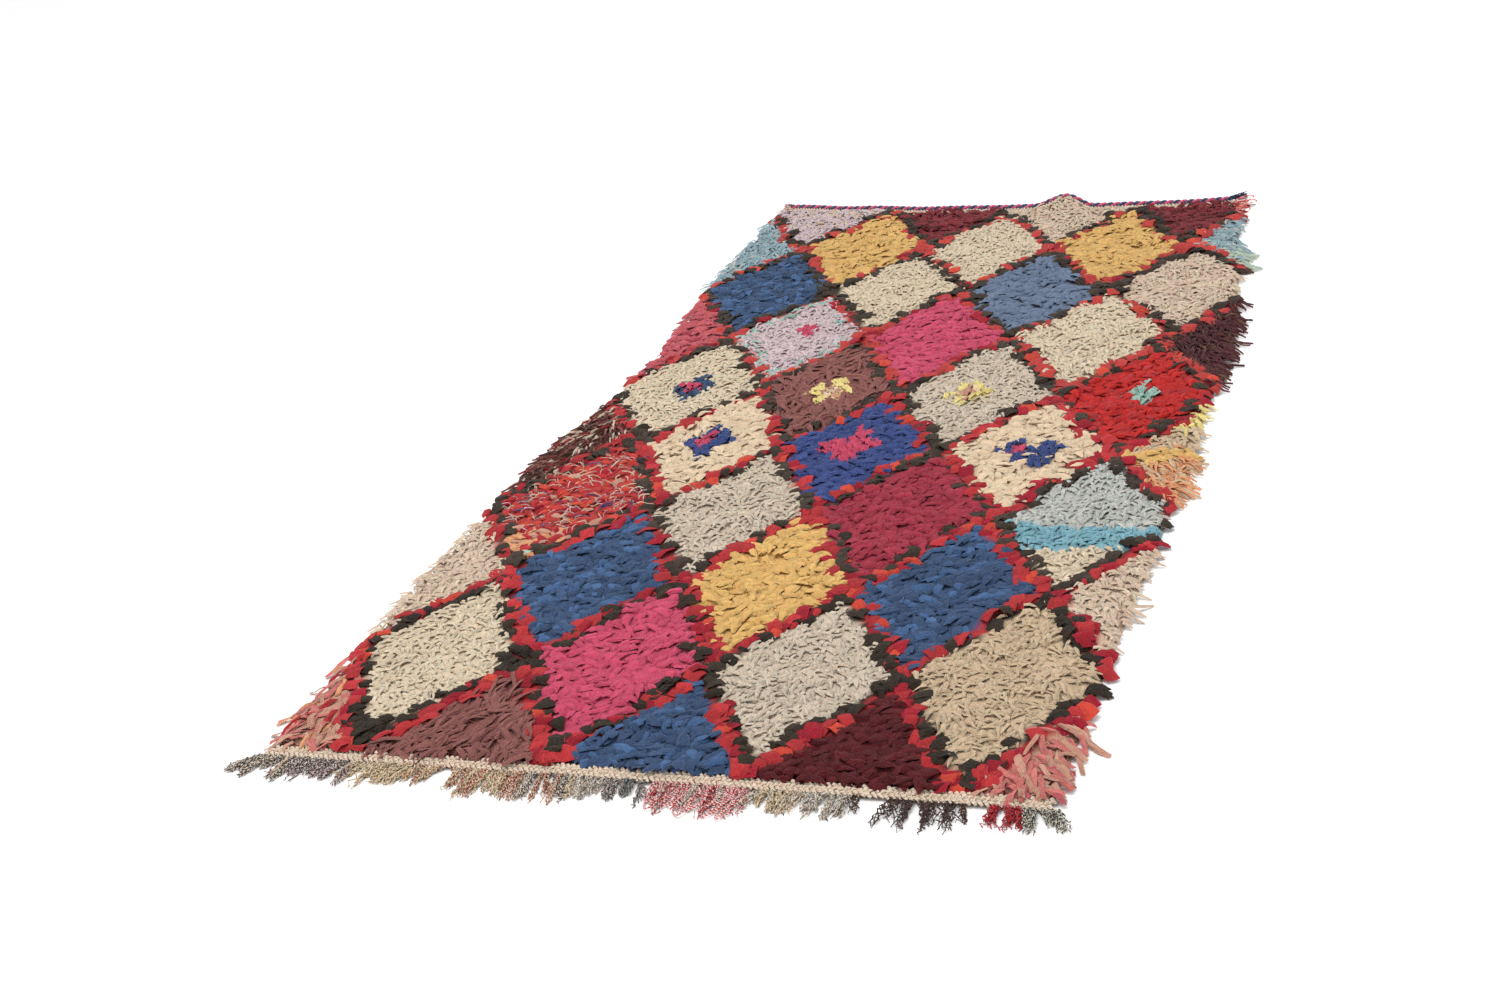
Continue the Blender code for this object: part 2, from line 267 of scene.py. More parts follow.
# %% [markdown]
# ## The dyes
#
# The rags were clothes once, so each colour is a jersey, a wool or a cotton of its own. A dye is written
# as a plain screen colour with how much one rag differs from the next. A fill says which scraps a part of
# the pattern is knotted from: broad flaps of T-shirt cloth, crumpled rags, narrow strips or loose yarn,
# in one dye or several, with how many shares of each go into the bag.

# %% The dyes and what each part of the pattern is knotted from
Dye = namedtuple("Dye", "red green blue vary", defaults=(0,))
DYES = {
    "charcoal": Dye(48, 39, 31, 0.30),
    "peat": Dye(60, 50, 42, 0.28),
    "red": Dye(172, 45, 49, 0.22),
    "warm_red": Dye(178, 58, 54, 0.20),
    "orange_red": Dye(196, 66, 50, 0.18),
    "crimson": Dye(150, 24, 40, 0.22),
    "scarlet": Dye(182, 36, 34, 0.16),
    "denim": Dye(56, 77, 109, 0.24),
    "bright_denim": Dye(67, 96, 137, 0.20),
    "steel_blue": Dye(100, 115, 139, 0.16),
    "royal_blue": Dye(54, 70, 122, 0.20),
    "hot_pink": Dye(194, 70, 98, 0.16),
    "rose": Dye(152, 46, 64, 0.18),
    "rose_pink": Dye(188, 86, 94, 0.18),
    "maroon": Dye(82, 22, 26, 0.22),
    "wine": Dye(118, 42, 48, 0.24),
    "mauve": Dye(132, 82, 77, 0.16),
    "aubergine": Dye(76, 42, 45, 0.26),
    "gold": Dye(215, 168, 101, 0.12),
    "yellow": Dye(228, 206, 132, 0.10),
    "orange": Dye(214, 150, 108, 0.14),
    "salmon": Dye(192, 142, 122, 0.18),
    "blush": Dye(196, 112, 106, 0.18),
    "peach": Dye(219, 191, 160, 0.10),
    "cream": Dye(218, 197, 170, 0.10),
    "pink_cream": Dye(210, 184, 162, 0.11),
    "grey_cream": Dye(204, 186, 166, 0.12),
    "sand": Dye(200, 174, 144, 0.10),
    "lilac": Dye(206, 183, 186, 0.14),
    "pale_blue": Dye(142, 166, 174, 0.16),
    "pale_green": Dye(176, 192, 174, 0.14),
    "turquoise": Dye(122, 168, 180, 0.12),
    "sea_green": Dye(148, 182, 170, 0.14),
    "grey_blue": Dye(186, 186, 179, 0.13),
    "brown": Dye(92, 64, 54, 0.26),
}
Fill = namedtuple("Fill", "kind dyes")
FILLS = {
    "charcoal": Fill("crumple", {"charcoal": 1}),
    "peat": Fill("crumple", {"peat": 5, "charcoal": 1}),
    "red": Fill("flap", {"red": 7, "orange_red": 1, "crimson": 3}),
    "warm_red": Fill("flap", {"warm_red": 7, "orange_red": 1, "crimson": 1}),
    "denim": Fill("rag", {"denim": 7, "bright_denim": 2}),
    "steel_blue": Fill("rag", {"steel_blue": 1}),
    "royal_blue": Fill("rag", {"royal_blue": 1}),
    "hot_pink": Fill("rag", {"hot_pink": 1}),
    "rose": Fill("rag", {"rose": 1}),
    "rose_pink": Fill("rag", {"rose_pink": 9, "rose": 1}),
    "maroon": Fill("rag", {"maroon": 1}),
    "wine": Fill("rag", {"wine": 5, "maroon": 1}),
    "mauve": Fill("ribbon", {"mauve": 1}),
    "scarlet": Fill("rag", {"scarlet": 8, "red": 2}),
    "gold": Fill("rag", {"gold": 1}),
    "peach": Fill("rag", {"peach": 1}),
    "cream": Fill("strip", {"cream": 1}),
    "pink_cream": Fill("strip", {"pink_cream": 9, "cream": 2}),
    "sand": Fill("strip", {"sand": 1}),
    "lilac": Fill("strip", {"lilac": 1}),
    "lilac_rim": Fill("strip", {"lilac": 6, "sea_green": 4}),
    "lilac_grey": Fill("strip", {"lilac": 8, "pink_cream": 2}),
    "turquoise": Fill("strip", {"turquoise": 1}),
    "yellow": Fill("strip", {"yellow": 1}),
    "beige": Fill("strip", {"sand": 6, "orange": 1}),
    "grey_cream": Fill("strip", {"grey_cream": 1}),
    "grey_blue": Fill("strip", {"grey_blue": 1}),
    "pale_blue": Fill("strip", {"pale_blue": 7, "grey_blue": 1}),
    "pale_green": Fill("yarn", {"pale_green": 6, "pale_blue": 2}),
    "orange": Fill("yarn", {"orange": 7, "sand": 3}),
    "aubergine": Fill("yarn", {"aubergine": 8, "brown": 1}),
    "brown": Fill("yarn", {"brown": 5, "grey_cream": 2, "crimson": 1, "mauve": 3, "aubergine": 2}),
    "confetti": Fill("rag", {"warm_red": 5, "red": 5, "orange_red": 3, "crimson": 2, "salmon": 1}),
    "patched": Fill("rag", {"orange": 6, "salmon": 3, "red": 3, "pale_green": 1}),
    "salmon": Fill("ribbon", {"salmon": 6, "blush": 6, "rose_pink": 1}),
    "sunset": Fill("ribbon", {"salmon": 6, "orange": 2, "red": 1, "blush": 5}),
    "heart_blue": Fill("scrap", {"royal_blue": 1}),
    "heart_denim": Fill("scrap", {"denim": 1}),
    "heart_peach": Fill("scrap", {"salmon": 2, "peach": 1}),
    "heart_pink": Fill("scrap", {"hot_pink": 1}),
    "heart_yellow": Fill("scrap", {"yellow": 1}),
    "heart_sea": Fill("scrap", {"sea_green": 1}),
}
FILL_NAMES = list(FILLS)
print(len(DYES), "dyes in", len(FILLS), "fills")

# %% [markdown]
# ## The lattice
#
# The pattern is the old Berber lattice: rows of upright diamonds, each row shifted by half a diamond, so
# that they lock together. A diamond is edged by flaps of its row's outline colour, charcoal in one row
# and red in the next, which makes the double lines. The weaver counted by eye, so the rows tilt and the
# diamonds are never quite level. A few have a small two-coloured heart, or change colour in bands where
# one bag of rags ran out. The chart below is listed one row of knotting after another.

# %% The chart of diamonds, from the far end to the near end
Heart = namedtuple("Heart", "x y size ring middle")
Band = namedtuple("Band", "below fill")
Field = namedtuple("Field", "x y fill bands rim", defaults=((), ""))
Row = namedtuple("Row", "outline fields")
LATTICE = (
    Row("peat", (
        Field(-0.470, 1.260, "lilac_grey"),
        Field(-0.150, 1.212, "wine"),
        Field(0.128, 1.182, "pink_cream"),
        Field(0.430, 1.155, "wine"),
    )),
    Row("warm_red", (
        Field(-0.618, 0.960, "pale_blue"),
        Field(-0.300, 0.938, "gold"),
        Field(-0.005, 0.902, "cream"),
        Field(0.290, 0.886, "gold"),
        Field(0.582, 0.935, "pale_blue", (Band(0.83, "pale_green"),)),
    )),
    Row("peat", (
        Field(-0.445, 0.670, "denim"),
        Field(-0.140, 0.648, "cream"),
        Field(0.165, 0.618, "steel_blue"),
        Field(0.495, 0.610, "pink_cream"),
    )),
    Row("warm_red", (
        Field(-0.600, 0.405, "rose_pink"),
        Field(-0.275, 0.388, "lilac", (), "lilac_rim"),
        Field(0.010, 0.352, "hot_pink"),
        Field(0.336, 0.326, "cream"),
        Field(0.618, 0.312, "aubergine"),
    )),
    Row("peat", (
        Field(-0.412, 0.100, "cream"),
        Field(-0.125, 0.070, "mauve"),
        Field(0.165, 0.045, "grey_cream"),
        Field(0.475, 0.010, "scarlet"),
    )),
    Row("red", (
        Field(-0.600, -0.170, "brown"),
        Field(-0.270, -0.170, "peach"),
        Field(0.005, -0.190, "royal_blue"),
        Field(0.330, -0.220, "peach"),
        Field(0.620, -0.220, "yellow", (Band(-0.13, "beige"), Band(-0.22, "gold"), Band(-0.26, "orange"))),
    )),
    Row("peat", (
        Field(-0.450, -0.420, "confetti", (Band(-0.545, "patched"),)),
        Field(-0.140, -0.450, "grey_cream"),
        Field(0.165, -0.470, "rose"),
        Field(0.475, -0.485, "grey_blue", (Band(-0.51, "turquoise"), Band(-0.595, "cream"))),
    )),
    Row("red", (
        Field(-0.600, -0.700, "pink_cream"),
        Field(-0.295, -0.710, "denim"),
        Field(0.013, -0.725, "gold"),
        Field(0.305, -0.745, "denim"),
        Field(0.630, -0.750, "pink_cream"),
    )),
    Row("charcoal", (
        Field(-0.445, -0.980, "cream"),
        Field(-0.130, -0.985, "hot_pink"),
        Field(0.165, -1.000, "grey_cream"),
        Field(0.455, -1.000, "sand"),
    )),
    Row("red", (
        Field(-0.588, -1.200, "sunset"),
        Field(-0.265, -1.262, "mauve"),
        Field(0.015, -1.270, "denim"),
        Field(0.310, -1.280, "maroon"),
        Field(0.620, -1.270, "salmon"),
    )),
)
HEARTS = (
    Heart(-0.270, 0.402, 0.9, "lilac", "heart_pink"),
    Heart(-0.410, 0.100, 1.0, "heart_denim", "heart_pink"),
    Heart(-0.120, 0.070, 0.8, "heart_yellow", "heart_peach"),
    Heart(0.160, 0.050, 0.8, "heart_yellow", "heart_peach"),
    Heart(0.480, 0.030, 0.7, "heart_sea", "heart_sea"),
    Heart(-0.280, -0.170, 1.0, "heart_blue", "heart_pink"),
    Heart(0.000, -0.190, 1.0, "heart_pink", "heart_pink"),
    Heart(0.300, -0.210, 0.8, "heart_blue", "heart_pink"),
    Heart(0.352, -0.224, 0.8, "heart_blue", "heart_blue"),
)
HALF_WIDTH = 0.1555
HALF_LENGTH = 0.272
OUTLINE_SHARE = 0.195
OUTLINE_GROWS = 0.050
OUTLINE_GROWS_BETWEEN = (-1.2, -0.1)
RIM_SHARE = 0.55
RED_GAIN_NEAR = 0.015
RED_GAIN_FAR = -0.045
RED_GAIN_BETWEEN = (0.0, 0.6)
HEART_HALF_WIDTH = 0.038
HEART_HALF_LENGTH = 0.052
HEART_CORNERS = 4
HEART_LOBES = 0.22
HEART_MIDDLE_SHARE = 0.50
WEAVER_WANDER = 0.008
WANDER_SIZE = 0.060

FIELDS = [field for row in LATTICE for field in row.fields]
OUTLINES = [row.outline for row in LATTICE for _ in row.fields]
IS_DARK = np.array([outline in ("charcoal", "peat") for outline in OUTLINES])


def fill_at(x, y):
    """The fill that the chart gives to each place, as its number in FILL_NAMES."""
    wide = x + WEAVER_WANDER * drift(x, y, WANDER_SIZE, SEED_WANDER_X)
    long = y + WEAVER_WANDER * drift(x, y, WANDER_SIZE, SEED_WANDER_Y)
    away = np.empty((len(FIELDS), len(x)))
    for number, field in enumerate(FIELDS):
        away[number] = abs(wide - field.x) / HALF_WIDTH + abs(long - field.y) / HALF_LENGTH
    nearest = away.argmin(axis=0)
    ranked = np.sort(away, axis=0)
    inward = ranked[1] - ranked[0]
    is_field = inward > OUTLINE_SHARE + OUTLINE_GROWS * (1 - ease(*OUTLINE_GROWS_BETWEEN, y))
    red_gain = RED_GAIN_NEAR + (RED_GAIN_FAR - RED_GAIN_NEAR) * ease(*RED_GAIN_BETWEEN, y)
    owner = (away + red_gain * IS_DARK[:, None]).argmin(axis=0)
    found = np.zeros(len(x), int)
    for number, field in enumerate(FIELDS):
        inside = (nearest == number) & is_field
        found[(owner == number) & ~is_field] = FILL_NAMES.index(OUTLINES[number])
        found[inside] = FILL_NAMES.index(field.fill)
        if field.rim:
            found[inside & (inward < RIM_SHARE)] = FILL_NAMES.index(field.rim)
        for band in field.bands:
            found[inside & (long < band.below)] = FILL_NAMES.index(band.fill)
    for heart in HEARTS:
        aside = (wide - heart.x) / (HEART_HALF_WIDTH * heart.size)
        ahead = (long - heart.y) / (HEART_HALF_LENGTH * heart.size)
        lobes = HEART_LOBES * np.cos(HEART_CORNERS * np.arctan2(ahead, aside))
        reach = np.hypot(aside, ahead) * (1 - lobes)
        found[reach < 1] = FILL_NAMES.index(heart.ring)
        found[reach < HEART_MIDDLE_SHARE] = FILL_NAMES.index(heart.middle)
    return found


print(len(FIELDS), "diamonds and", len(HEARTS), "hearts in", len(LATTICE), "rows")

# %% [markdown]
# ## Modelling a scrap of cloth
#
# Every tuft starts as the same thing: a short length of cloth, gathered where it is knotted and cut off
# at its tip. It could be a flat card, but a card has no edge and goes black when seen end on. So a scrap
# is a closed, flattened tube. A cylinder is laid along Y, its long edges are subdivided into rings, each
# ring is squeezed to its width, and each column of points is pushed up or down into pleats. A few shapes
# of each kind, modelled once, are enough for thousands of tufts, since each copy is bent differently. A
# cut says how many shapes are made, how many sides the tube has, how wide each ring is from knot to tip,
# and then how thick, pleated, slanted and curled the scrap is, all as shares of its width.

# %% Model one scrap from a cylinder
Shape = namedtuple("Shape", "points corners sizes")
Cut = namedtuple("Cut", "shapes sides widths thickness pleat slant curl", defaults=(0.0, 0.0))
LIE_ALONG_Y = Matrix(((0, 1, 0), (0, 0, 1), (1, 0, 0))).to_euler()
PLEAT_UNEVEN = 0.6
PLEAT_AT_KNOT = 0.3
RUG_SEED = 41
chance = np.random.default_rng(RUG_SEED)


def choose_points(piece, wanted):
    """Selects the vertices that a test on their place picks, and nothing else."""
    bm = bmesh.from_edit_mesh(piece.data)
    for vert in bm.verts:
        vert.select = bool(wanted(vert.co))
    bm.select_flush_mode()
    bmesh.update_edit_mesh(piece.data)


def choose_long_edges(piece):
    """Selects the edges that run from the knot to the tip."""
    bpy.ops.mesh.select_mode(type="EDGE")
    bpy.ops.mesh.select_all(action="DESELECT")
    bm = bmesh.from_edit_mesh(piece.data)
    for edge in bm.edges:
        edge.select = abs(edge.verts[0].co.y - edge.verts[1].co.y) > 0.5
    bmesh.update_edit_mesh(piece.data)


def model_scrap(cut):
    """A scrap one unit long and wide, pleated, slanted at its tip and curled at its sides."""
    rings = len(cut.widths) - 1
    bpy.ops.object.select_all(action="DESELECT")
    bpy.ops.mesh.primitive_cylinder_add(
        vertices=cut.sides, radius=0.5, depth=1, location=(0, 0.5, 0), rotation=LIE_ALONG_Y)
    piece = bpy.context.object
    bpy.ops.object.transform_apply(location=True, rotation=True, scale=True)
    bpy.ops.object.mode_set(mode="EDIT")
    choose_long_edges(piece)
    bpy.ops.mesh.subdivide(number_cuts=rings - 1)
    bpy.ops.mesh.select_mode(type="VERT")
    bpy.ops.mesh.select_all(action="SELECT")
    bpy.ops.transform.resize(value=(1, 1, cut.thickness))
    turns = [2 * math.pi * side / cut.sides for side in range(cut.sides)]
    for column in sorted({round(0.5 * math.cos(turn), 3) for turn in turns}):
        ridge = chance.uniform(-1, 1)
        for ring in range(rings + 1):
            depth = cut.pleat * (ridge + PLEAT_UNEVEN * chance.uniform(-1, 1))
            push = depth * min(1, PLEAT_AT_KNOT + ring / rings) - cut.curl * (2 * column) ** 2
            choose_points(piece, lambda co: abs(co.x - column) < 0.01 and abs(co.y * rings - ring) < 0.1)
            bpy.ops.transform.translate(value=(0, 0, push))
    for ring, width in enumerate(cut.widths):
        choose_points(piece, lambda co: abs(co.y * rings - ring) < 0.1)
        bpy.ops.transform.resize(value=(width, 1, 1), center_override=(0, ring / rings, 0))
    lean = cut.slant * chance.uniform(-1, 1)
    shorter_side = math.copysign(1, lean)
    choose_points(piece, lambda co: co.y > 0.99 and co.x * shorter_side > 0.1)
    bpy.ops.transform.translate(value=(0, -abs(lean), 0))
    bpy.ops.object.mode_set(mode="OBJECT")
    points = np.array([vert.co for vert in piece.data.vertices])
    corners = np.array([corner for face in piece.data.polygons for corner in face.vertices])
    sizes = np.array([len(face.vertices) for face in piece.data.polygons])
    bpy.data.objects.remove(piece)
    return Shape(points, corners, sizes)


# %% Model a few shapes of each kind of scrap
CUTS = {
    "flap": Cut(8, 8, (0.65, 1.0, 1.0, 1.0), 0.05, 0.06, 0.10, 0.05),
    "crumple": Cut(8, 6, (0.60, 1.0, 0.95, 0.55), 0.07, 0.08, 0.30, 0.10),
    "rag": Cut(12, 6, (0.60, 1.0, 1.0, 0.70), 0.07, 0.09, 0.25, 0.15),
    "ribbon": Cut(6, 6, (0.6, 1.0, 0.9, 1.0, 0.95, 0.8), 0.12, 0.16, 0.05, 0.12),
    "strip": Cut(8, 4, (0.65, 1.0, 0.85, 0.35), 0.14, 0.06, 0.20, 0.18),
    "scrap": Cut(4, 6, (0.55, 1.0, 0.9), 0.12, 0.16, 0.16),
    "yarn": Cut(3, 3, (0.9, 1.0, 1.0, 0.9, 0.5), 0.8, 0.05),
}


def model_shapes(cut):
    """The few shapes that are modelled after one cut."""
    return [model_scrap(cut) for _ in range(cut.shapes)]


SHAPES = {kind: model_shapes(cut) for kind, cut in CUTS.items()}
for kind, shapes in SHAPES.items():
    print("A", kind, "has", len(shapes[0].sizes), "faces, in", len(shapes), "shapes")

# %% [markdown]
# ## Rows of knots
#
# The weaver ties the knots in rows from side to side, and each kind of scrap needs its own spacing: broad
# flaps stand far apart, yarn close together. So each kind gets its own net of knots over the whole cloth,
# a little unsettled, and only those stay that lie where the chart asks for that kind. A tuft shows where
# its tip falls and not where it is knotted, so the chart is read half a tuft ahead of the knot.
#
# Tufts fall towards the near end, since the rug was woven from there. They also turn outwards at the
# sides, and swirl a little in patches, as feet have pushed them. The table of kinds gives, in metres, how
# far apart the knots are across and along the cloth, and the least and the greatest width, length and
# height of a tuft. After them come how much it rolls, sways, scatters and kinks.

# %% How each kind of scrap is spaced, cut and laid
Kind = namedtuple("Kind", "across along narrow wide short long low high roll sway scatter kink")
KINDS = {
    "flap": Kind(0.0170, 0.0190, 0.018, 0.029, 0.034, 0.054, 0.0118, 0.0142, 0.14, 0.008, 0.36, 0.0),
    "crumple": Kind(0.0150, 0.0185, 0.018, 0.030, 0.032, 0.050, 0.0120, 0.0150, 0.20, 0.008, 0.70, 0.0),
    "rag": Kind(0.0112, 0.0165, 0.0120, 0.0210, 0.028, 0.048, 0.0106, 0.0134, 0.20, 0.010, 1.15, 0.0),
    "ribbon": Kind(0.0095, 0.0190, 0.007, 0.013, 0.045, 0.070, 0.0100, 0.0130, 0.20, 0.024, 0.55, 0.001),
    "strip": Kind(0.0076, 0.0130, 0.0060, 0.0105, 0.020, 0.034, 0.0108, 0.0130, 0.14, 0.010, 0.85, 0.0),
    "scrap": Kind(0.0095, 0.0120, 0.010, 0.015, 0.022, 0.032, 0.0120, 0.0148, 0.20, 0.008, 0.40, 0.0),
    "yarn": Kind(0.0060, 0.0105, 0.0040, 0.0064, 0.026, 0.042, 0.0098, 0.0132, 0.50, 0.012, 0.45, 0.0012),
}
print(len(KINDS), "kinds of scrap")

# %% Spread a net of knots over the cloth
NET_NEAR = -1.29
NET_FAR = 1.33
NET_SIDE = 0.63
NET_UNSETTLED = 0.4
SIDE_MARGIN = 0.004
NEAR_MARGIN = 0.004
FAR_BAND_LEFT = 0.024
FAR_BAND_RIGHT = 0.038
FAR_BAND_WIDENS = (-0.6, 0.5)
FAR_BAND_ON_RUCK = 0.2
FAR_BAND_WAVER = 0.005
FAR_BAND_WAVER_SIZE = 0.02


def far_band_width(x, y):
    """How wide a strip of the cloth is left bare at the far end."""
    width = FAR_BAND_LEFT + (FAR_BAND_RIGHT - FAR_BAND_LEFT) * ease(*FAR_BAND_WIDENS, x)
    width = width * (1 - (1 - FAR_BAND_ON_RUCK) * ruck_lift(x, y) / RUCK_LIFT)
    return width + FAR_BAND_WAVER * drift(x, 0 * x, FAR_BAND_WAVER_SIZE, SEED_BAND)


def net_of_knots(kind):
    """Places for knots over the whole cloth, in shifted rows, with the sides and the near end there."""
    rows = np.arange(NET_NEAR, NET_FAR, kind.along)
    columns = np.arange(-NET_SIDE, NET_SIDE, kind.across)
    x, y = np.meshgrid(columns, rows)
    x[1::2] += kind.across / 2
    x = x.ravel() + chance.uniform(-NET_UNSETTLED, NET_UNSETTLED, x.size) * kind.across
    y = y.ravel() + chance.uniform(-NET_UNSETTLED, NET_UNSETTLED, y.size) * kind.along
    across, along = cloth_share(x, y)
    left, right = sides_at(along)
    near, far = ends_at(across)
    on_cloth = (x > left + SIDE_MARGIN) & (x < right - SIDE_MARGIN)
    on_cloth &= (y > near + NEAR_MARGIN) & (y < far - far_band_width(x, y))
    return [values[on_cloth] for values in (x, y, left, right, near)]


# %% Tie the knots of one kind of scrap
KNOT_HEIGHT = 0.003
READ_AHEAD = 0.55
CARELESS = 0.0045
LAID_DOWN = -math.pi / 2 + 0.10
LEAST_SLOPE = 0.2
SHORTEST_REACH = 0.013
SWIRL = 0.45
SWIRL_SIZE = 0.12
SIDE_TURN = 0.95
SIDE_ZONE = 0.075
NEAR_OVERHANG = 0.013
SIDE_OVERHANG = 0.036
BROAD_OVERHANG = 0.45
BROAD_KINDS = ("flap", "crumple", "ribbon")
OVERHANGS = (0.5, 1.0)
CLUMP_ZONE = 0.040
CLUMP_SIZE = 0.026
CLUMP_TURN = 0.45
CLUMP_REACH = 0.40
CLUMP_OVERHANG = 0.5
PILE_WAVE = 0.20
PILE_WAVE_SIZE = 0.05
TIP_DROPS = (-0.0090, -0.0020)
TWIST = 0.15
KINK_WAVES = (1.5, 3.0)


def between(low, high, count=None):
    """Even random values between two limits, or a single one."""
    return chance.uniform(low, high, count)


def pick(knots, chosen):
    """The knots that a mask or a list of numbers picks."""
    return {column: values[chosen] for column, values in knots.items()}


def pile_wave(x, y):
    """How much taller or lower the pile stands in patches, as a share."""
    return PILE_WAVE * drift(x, y, PILE_WAVE_SIZE, SEED_PILE)


def tie_knots(name):
    """All the tufts of one kind: where each is knotted and how it is cut and laid."""
    kind = KINDS[name]
    x, y, left, right, near = net_of_knots(kind)
    count = len(x)
    heading = LAID_DOWN + chance.normal(0, kind.scatter, count) + SWIRL * drift(x, y, SWIRL_SIZE, SEED_SWIRL)
    heading -= SIDE_TURN * (1 - ease(0, SIDE_ZONE, x - left))
    heading += SIDE_TURN * (1 - ease(0, SIDE_ZONE, right - x))
    at_side = 1 - ease(0, CLUMP_ZONE, np.minimum(x - left, right - x))
    clumps = drift(0 * y, y, CLUMP_SIZE, SEED_CLUMP)
    heading += at_side * CLUMP_TURN * drift(0 * y, y, CLUMP_SIZE, SEED_CLUMP_TURN)
    reach = between(kind.short, kind.long, count) * (1 + at_side * CLUMP_REACH * clumps)
    overhang = between(*OVERHANGS, count) * NEAR_OVERHANG
    reach = np.minimum(reach, (y - near + overhang) / np.maximum(-np.sin(heading), LEAST_SLOPE))
    room = np.where(np.cos(heading) < 0, x - left, right - x)
    side_overhang = between(*OVERHANGS, count) * SIDE_OVERHANG * (1 + CLUMP_OVERHANG * clumps)
    if name in BROAD_KINDS:
        side_overhang *= BROAD_OVERHANG
    reach = np.minimum(reach, (room + side_overhang) / np.maximum(abs(np.cos(heading)), LEAST_SLOPE))
    reach = np.maximum(reach, SHORTEST_REACH)
    seen_x = x + READ_AHEAD * reach * np.cos(heading) + chance.normal(0, CARELESS, count)
    seen_y = y + READ_AHEAD * reach * np.sin(heading) + chance.normal(0, CARELESS, count)
    fill = fill_at(seen_x, seen_y)
    knots = {
        "x": x,
        "y": y,
        "heading": heading,
        "reach": reach,
        "width": between(kind.narrow, kind.wide, count),
        "base": np.full(count, KNOT_HEIGHT),
        "rise": between(kind.low, kind.high, count) * (1 + pile_wave(x, y)),
        "tip": between(*TIP_DROPS, count),
        "sway": between(-kind.sway, kind.sway, count),
        "roll": between(-kind.roll, kind.roll, count),
        "twist": between(-TWIST, TWIST, count),
        "kink": np.full(count, kind.kink),
        "waves": between(*KINK_WAVES, count),
        "tint": between(0, 1, count),
        "fill": fill,
    }
    wanted = [number for number, fill_name in enumerate(FILL_NAMES) if FILLS[fill_name].kind == name]
    return pick(knots, np.isin(fill, wanted))


# %% [markdown]
# ## Bending the scraps
#
# A Curve modifier could bend one scrap, but not twenty thousand in a few seconds. So each copy's points are
# carried along a curve of its own with array arithmetic: up from the knot, over, and down to the tip, with
# a sway to one side, a roll and a twist. Past the woven edge there is no cloth underneath, so the curve
# sinks to the floor there.

# %% Carry copies of a shape along curves
AHEAD_PULLS = (0.10, 0.62)
SWAY_PULLS = (0.0, 0.45)
ARCH_PULLS = (1.30, 1.15)
KINK_STARTS = 40
KINK_GROWS = 3
HOP_PACE = 1.3
EDGE_FALL = (-0.010, 0.030)
EDGE_KEEP = 0.30
FLOOR_CLEARANCE = 0.0008


def bezier(start, second, third, stop, share):
    """A smooth run between two values by way of two pulls, and how fast it changes."""
    rest = 1 - share
    value = start * rest ** 3 + 3 * second * rest ** 2 * share
    value = value + 3 * third * rest * share ** 2 + stop * share ** 3
    speed = (second - start) * rest ** 2 + 2 * (third - second) * rest * share
    return value, 3 * (speed + (stop - third) * share ** 2)


def unit(vectors):
    """Vectors made one unit long."""
    return vectors / np.linalg.norm(vectors, axis=-1, keepdims=True)


def walk(x, y, heading, forward, left):
    """The places reached by a walk forward and to the left along a heading."""
    return (x + np.cos(heading) * forward - np.sin(heading) * left,
            y + np.sin(heading) * forward + np.cos(heading) * left)


def lay_copies(shape, knots, sinks=True):
    """Bends one copy of a shape for each knot. Returns the points as an array of copies by points by 3."""
    column = {name: values[:, None] for name, values in knots.items()}
    across = shape.points[None, :, 0] * column["width"]
    thick = shape.points[None, :, 2] * column["width"]
    share = np.broadcast_to(shape.points[None, :, 1], across.shape)
    top = column["base"] + column["rise"]
    ahead, ahead_speed = bezier(0.0, *AHEAD_PULLS, 1.0, share)
    sideways, side_speed = bezier(0.0, *SWAY_PULLS, 1.0, share)
    height, up_speed = bezier(
        column["base"], top * ARCH_PULLS[0], top * ARCH_PULLS[1], top + column["tip"], share)
    phase = column["tint"] * KINK_STARTS
    swing = 2 * math.pi * column["waves"]
    grown = np.minimum(1, KINK_GROWS * share)
    wobble = column["kink"] * np.sin(swing * share + phase) * grown
    hop = column["kink"] * np.cos(HOP_PACE * swing * share + 2 * phase) * grown
    ahead = ahead * column["reach"]
    sideways = sideways * column["sway"] + wobble
    side_speed = side_speed * column["sway"] + column["kink"] * swing * np.cos(swing * share + phase)
    run = unit(np.stack((ahead_speed * column["reach"], side_speed, up_speed), axis=-1))
    upward = unit(np.cross(run, (0.0, 1.0, 0.0)))
    rightward = np.cross(run, upward)
    turn = (column["roll"] + column["twist"] * share)[..., None]
    out = rightward * np.cos(turn) + upward * np.sin(turn)
    up = upward * np.cos(turn) - rightward * np.sin(turn)
    middle_x, middle_y = walk(column["x"], column["y"], column["heading"], ahead, sideways)
    height = height + hop
    if sinks:
        height = height * edge_share(middle_x, middle_y)
    spread = out * across[..., None] + up * thick[..., None]
    x, y = walk(middle_x, middle_y, column["heading"], spread[..., 0], spread[..., 1])
    z = np.maximum(height + spread[..., 2], FLOOR_CLEARANCE) + ruck_lift(middle_x, middle_y)
    return np.stack((x, y, z), axis=-1)


def edge_share(x, y):
    """1 over the cloth, less outside it, where tufts sink to the floor."""
    _, along = cloth_share(x.ravel(), y.ravel())
    left, right = (side.reshape(x.shape) for side in sides_at(along))
    outside = np.maximum(left - x, x - right)
    return 1 - (1 - EDGE_KEEP) * ease(*EDGE_FALL, outside)


# %% [markdown]
# ## Joining copies into one mesh
#
# Thousands of objects would be slow, so all the tufts of one dye become one mesh. Three things ride along
# on its points for the material: a random tint for each tuft, how far each point is from its knot, and a
# flat map of the scrap in real metres.

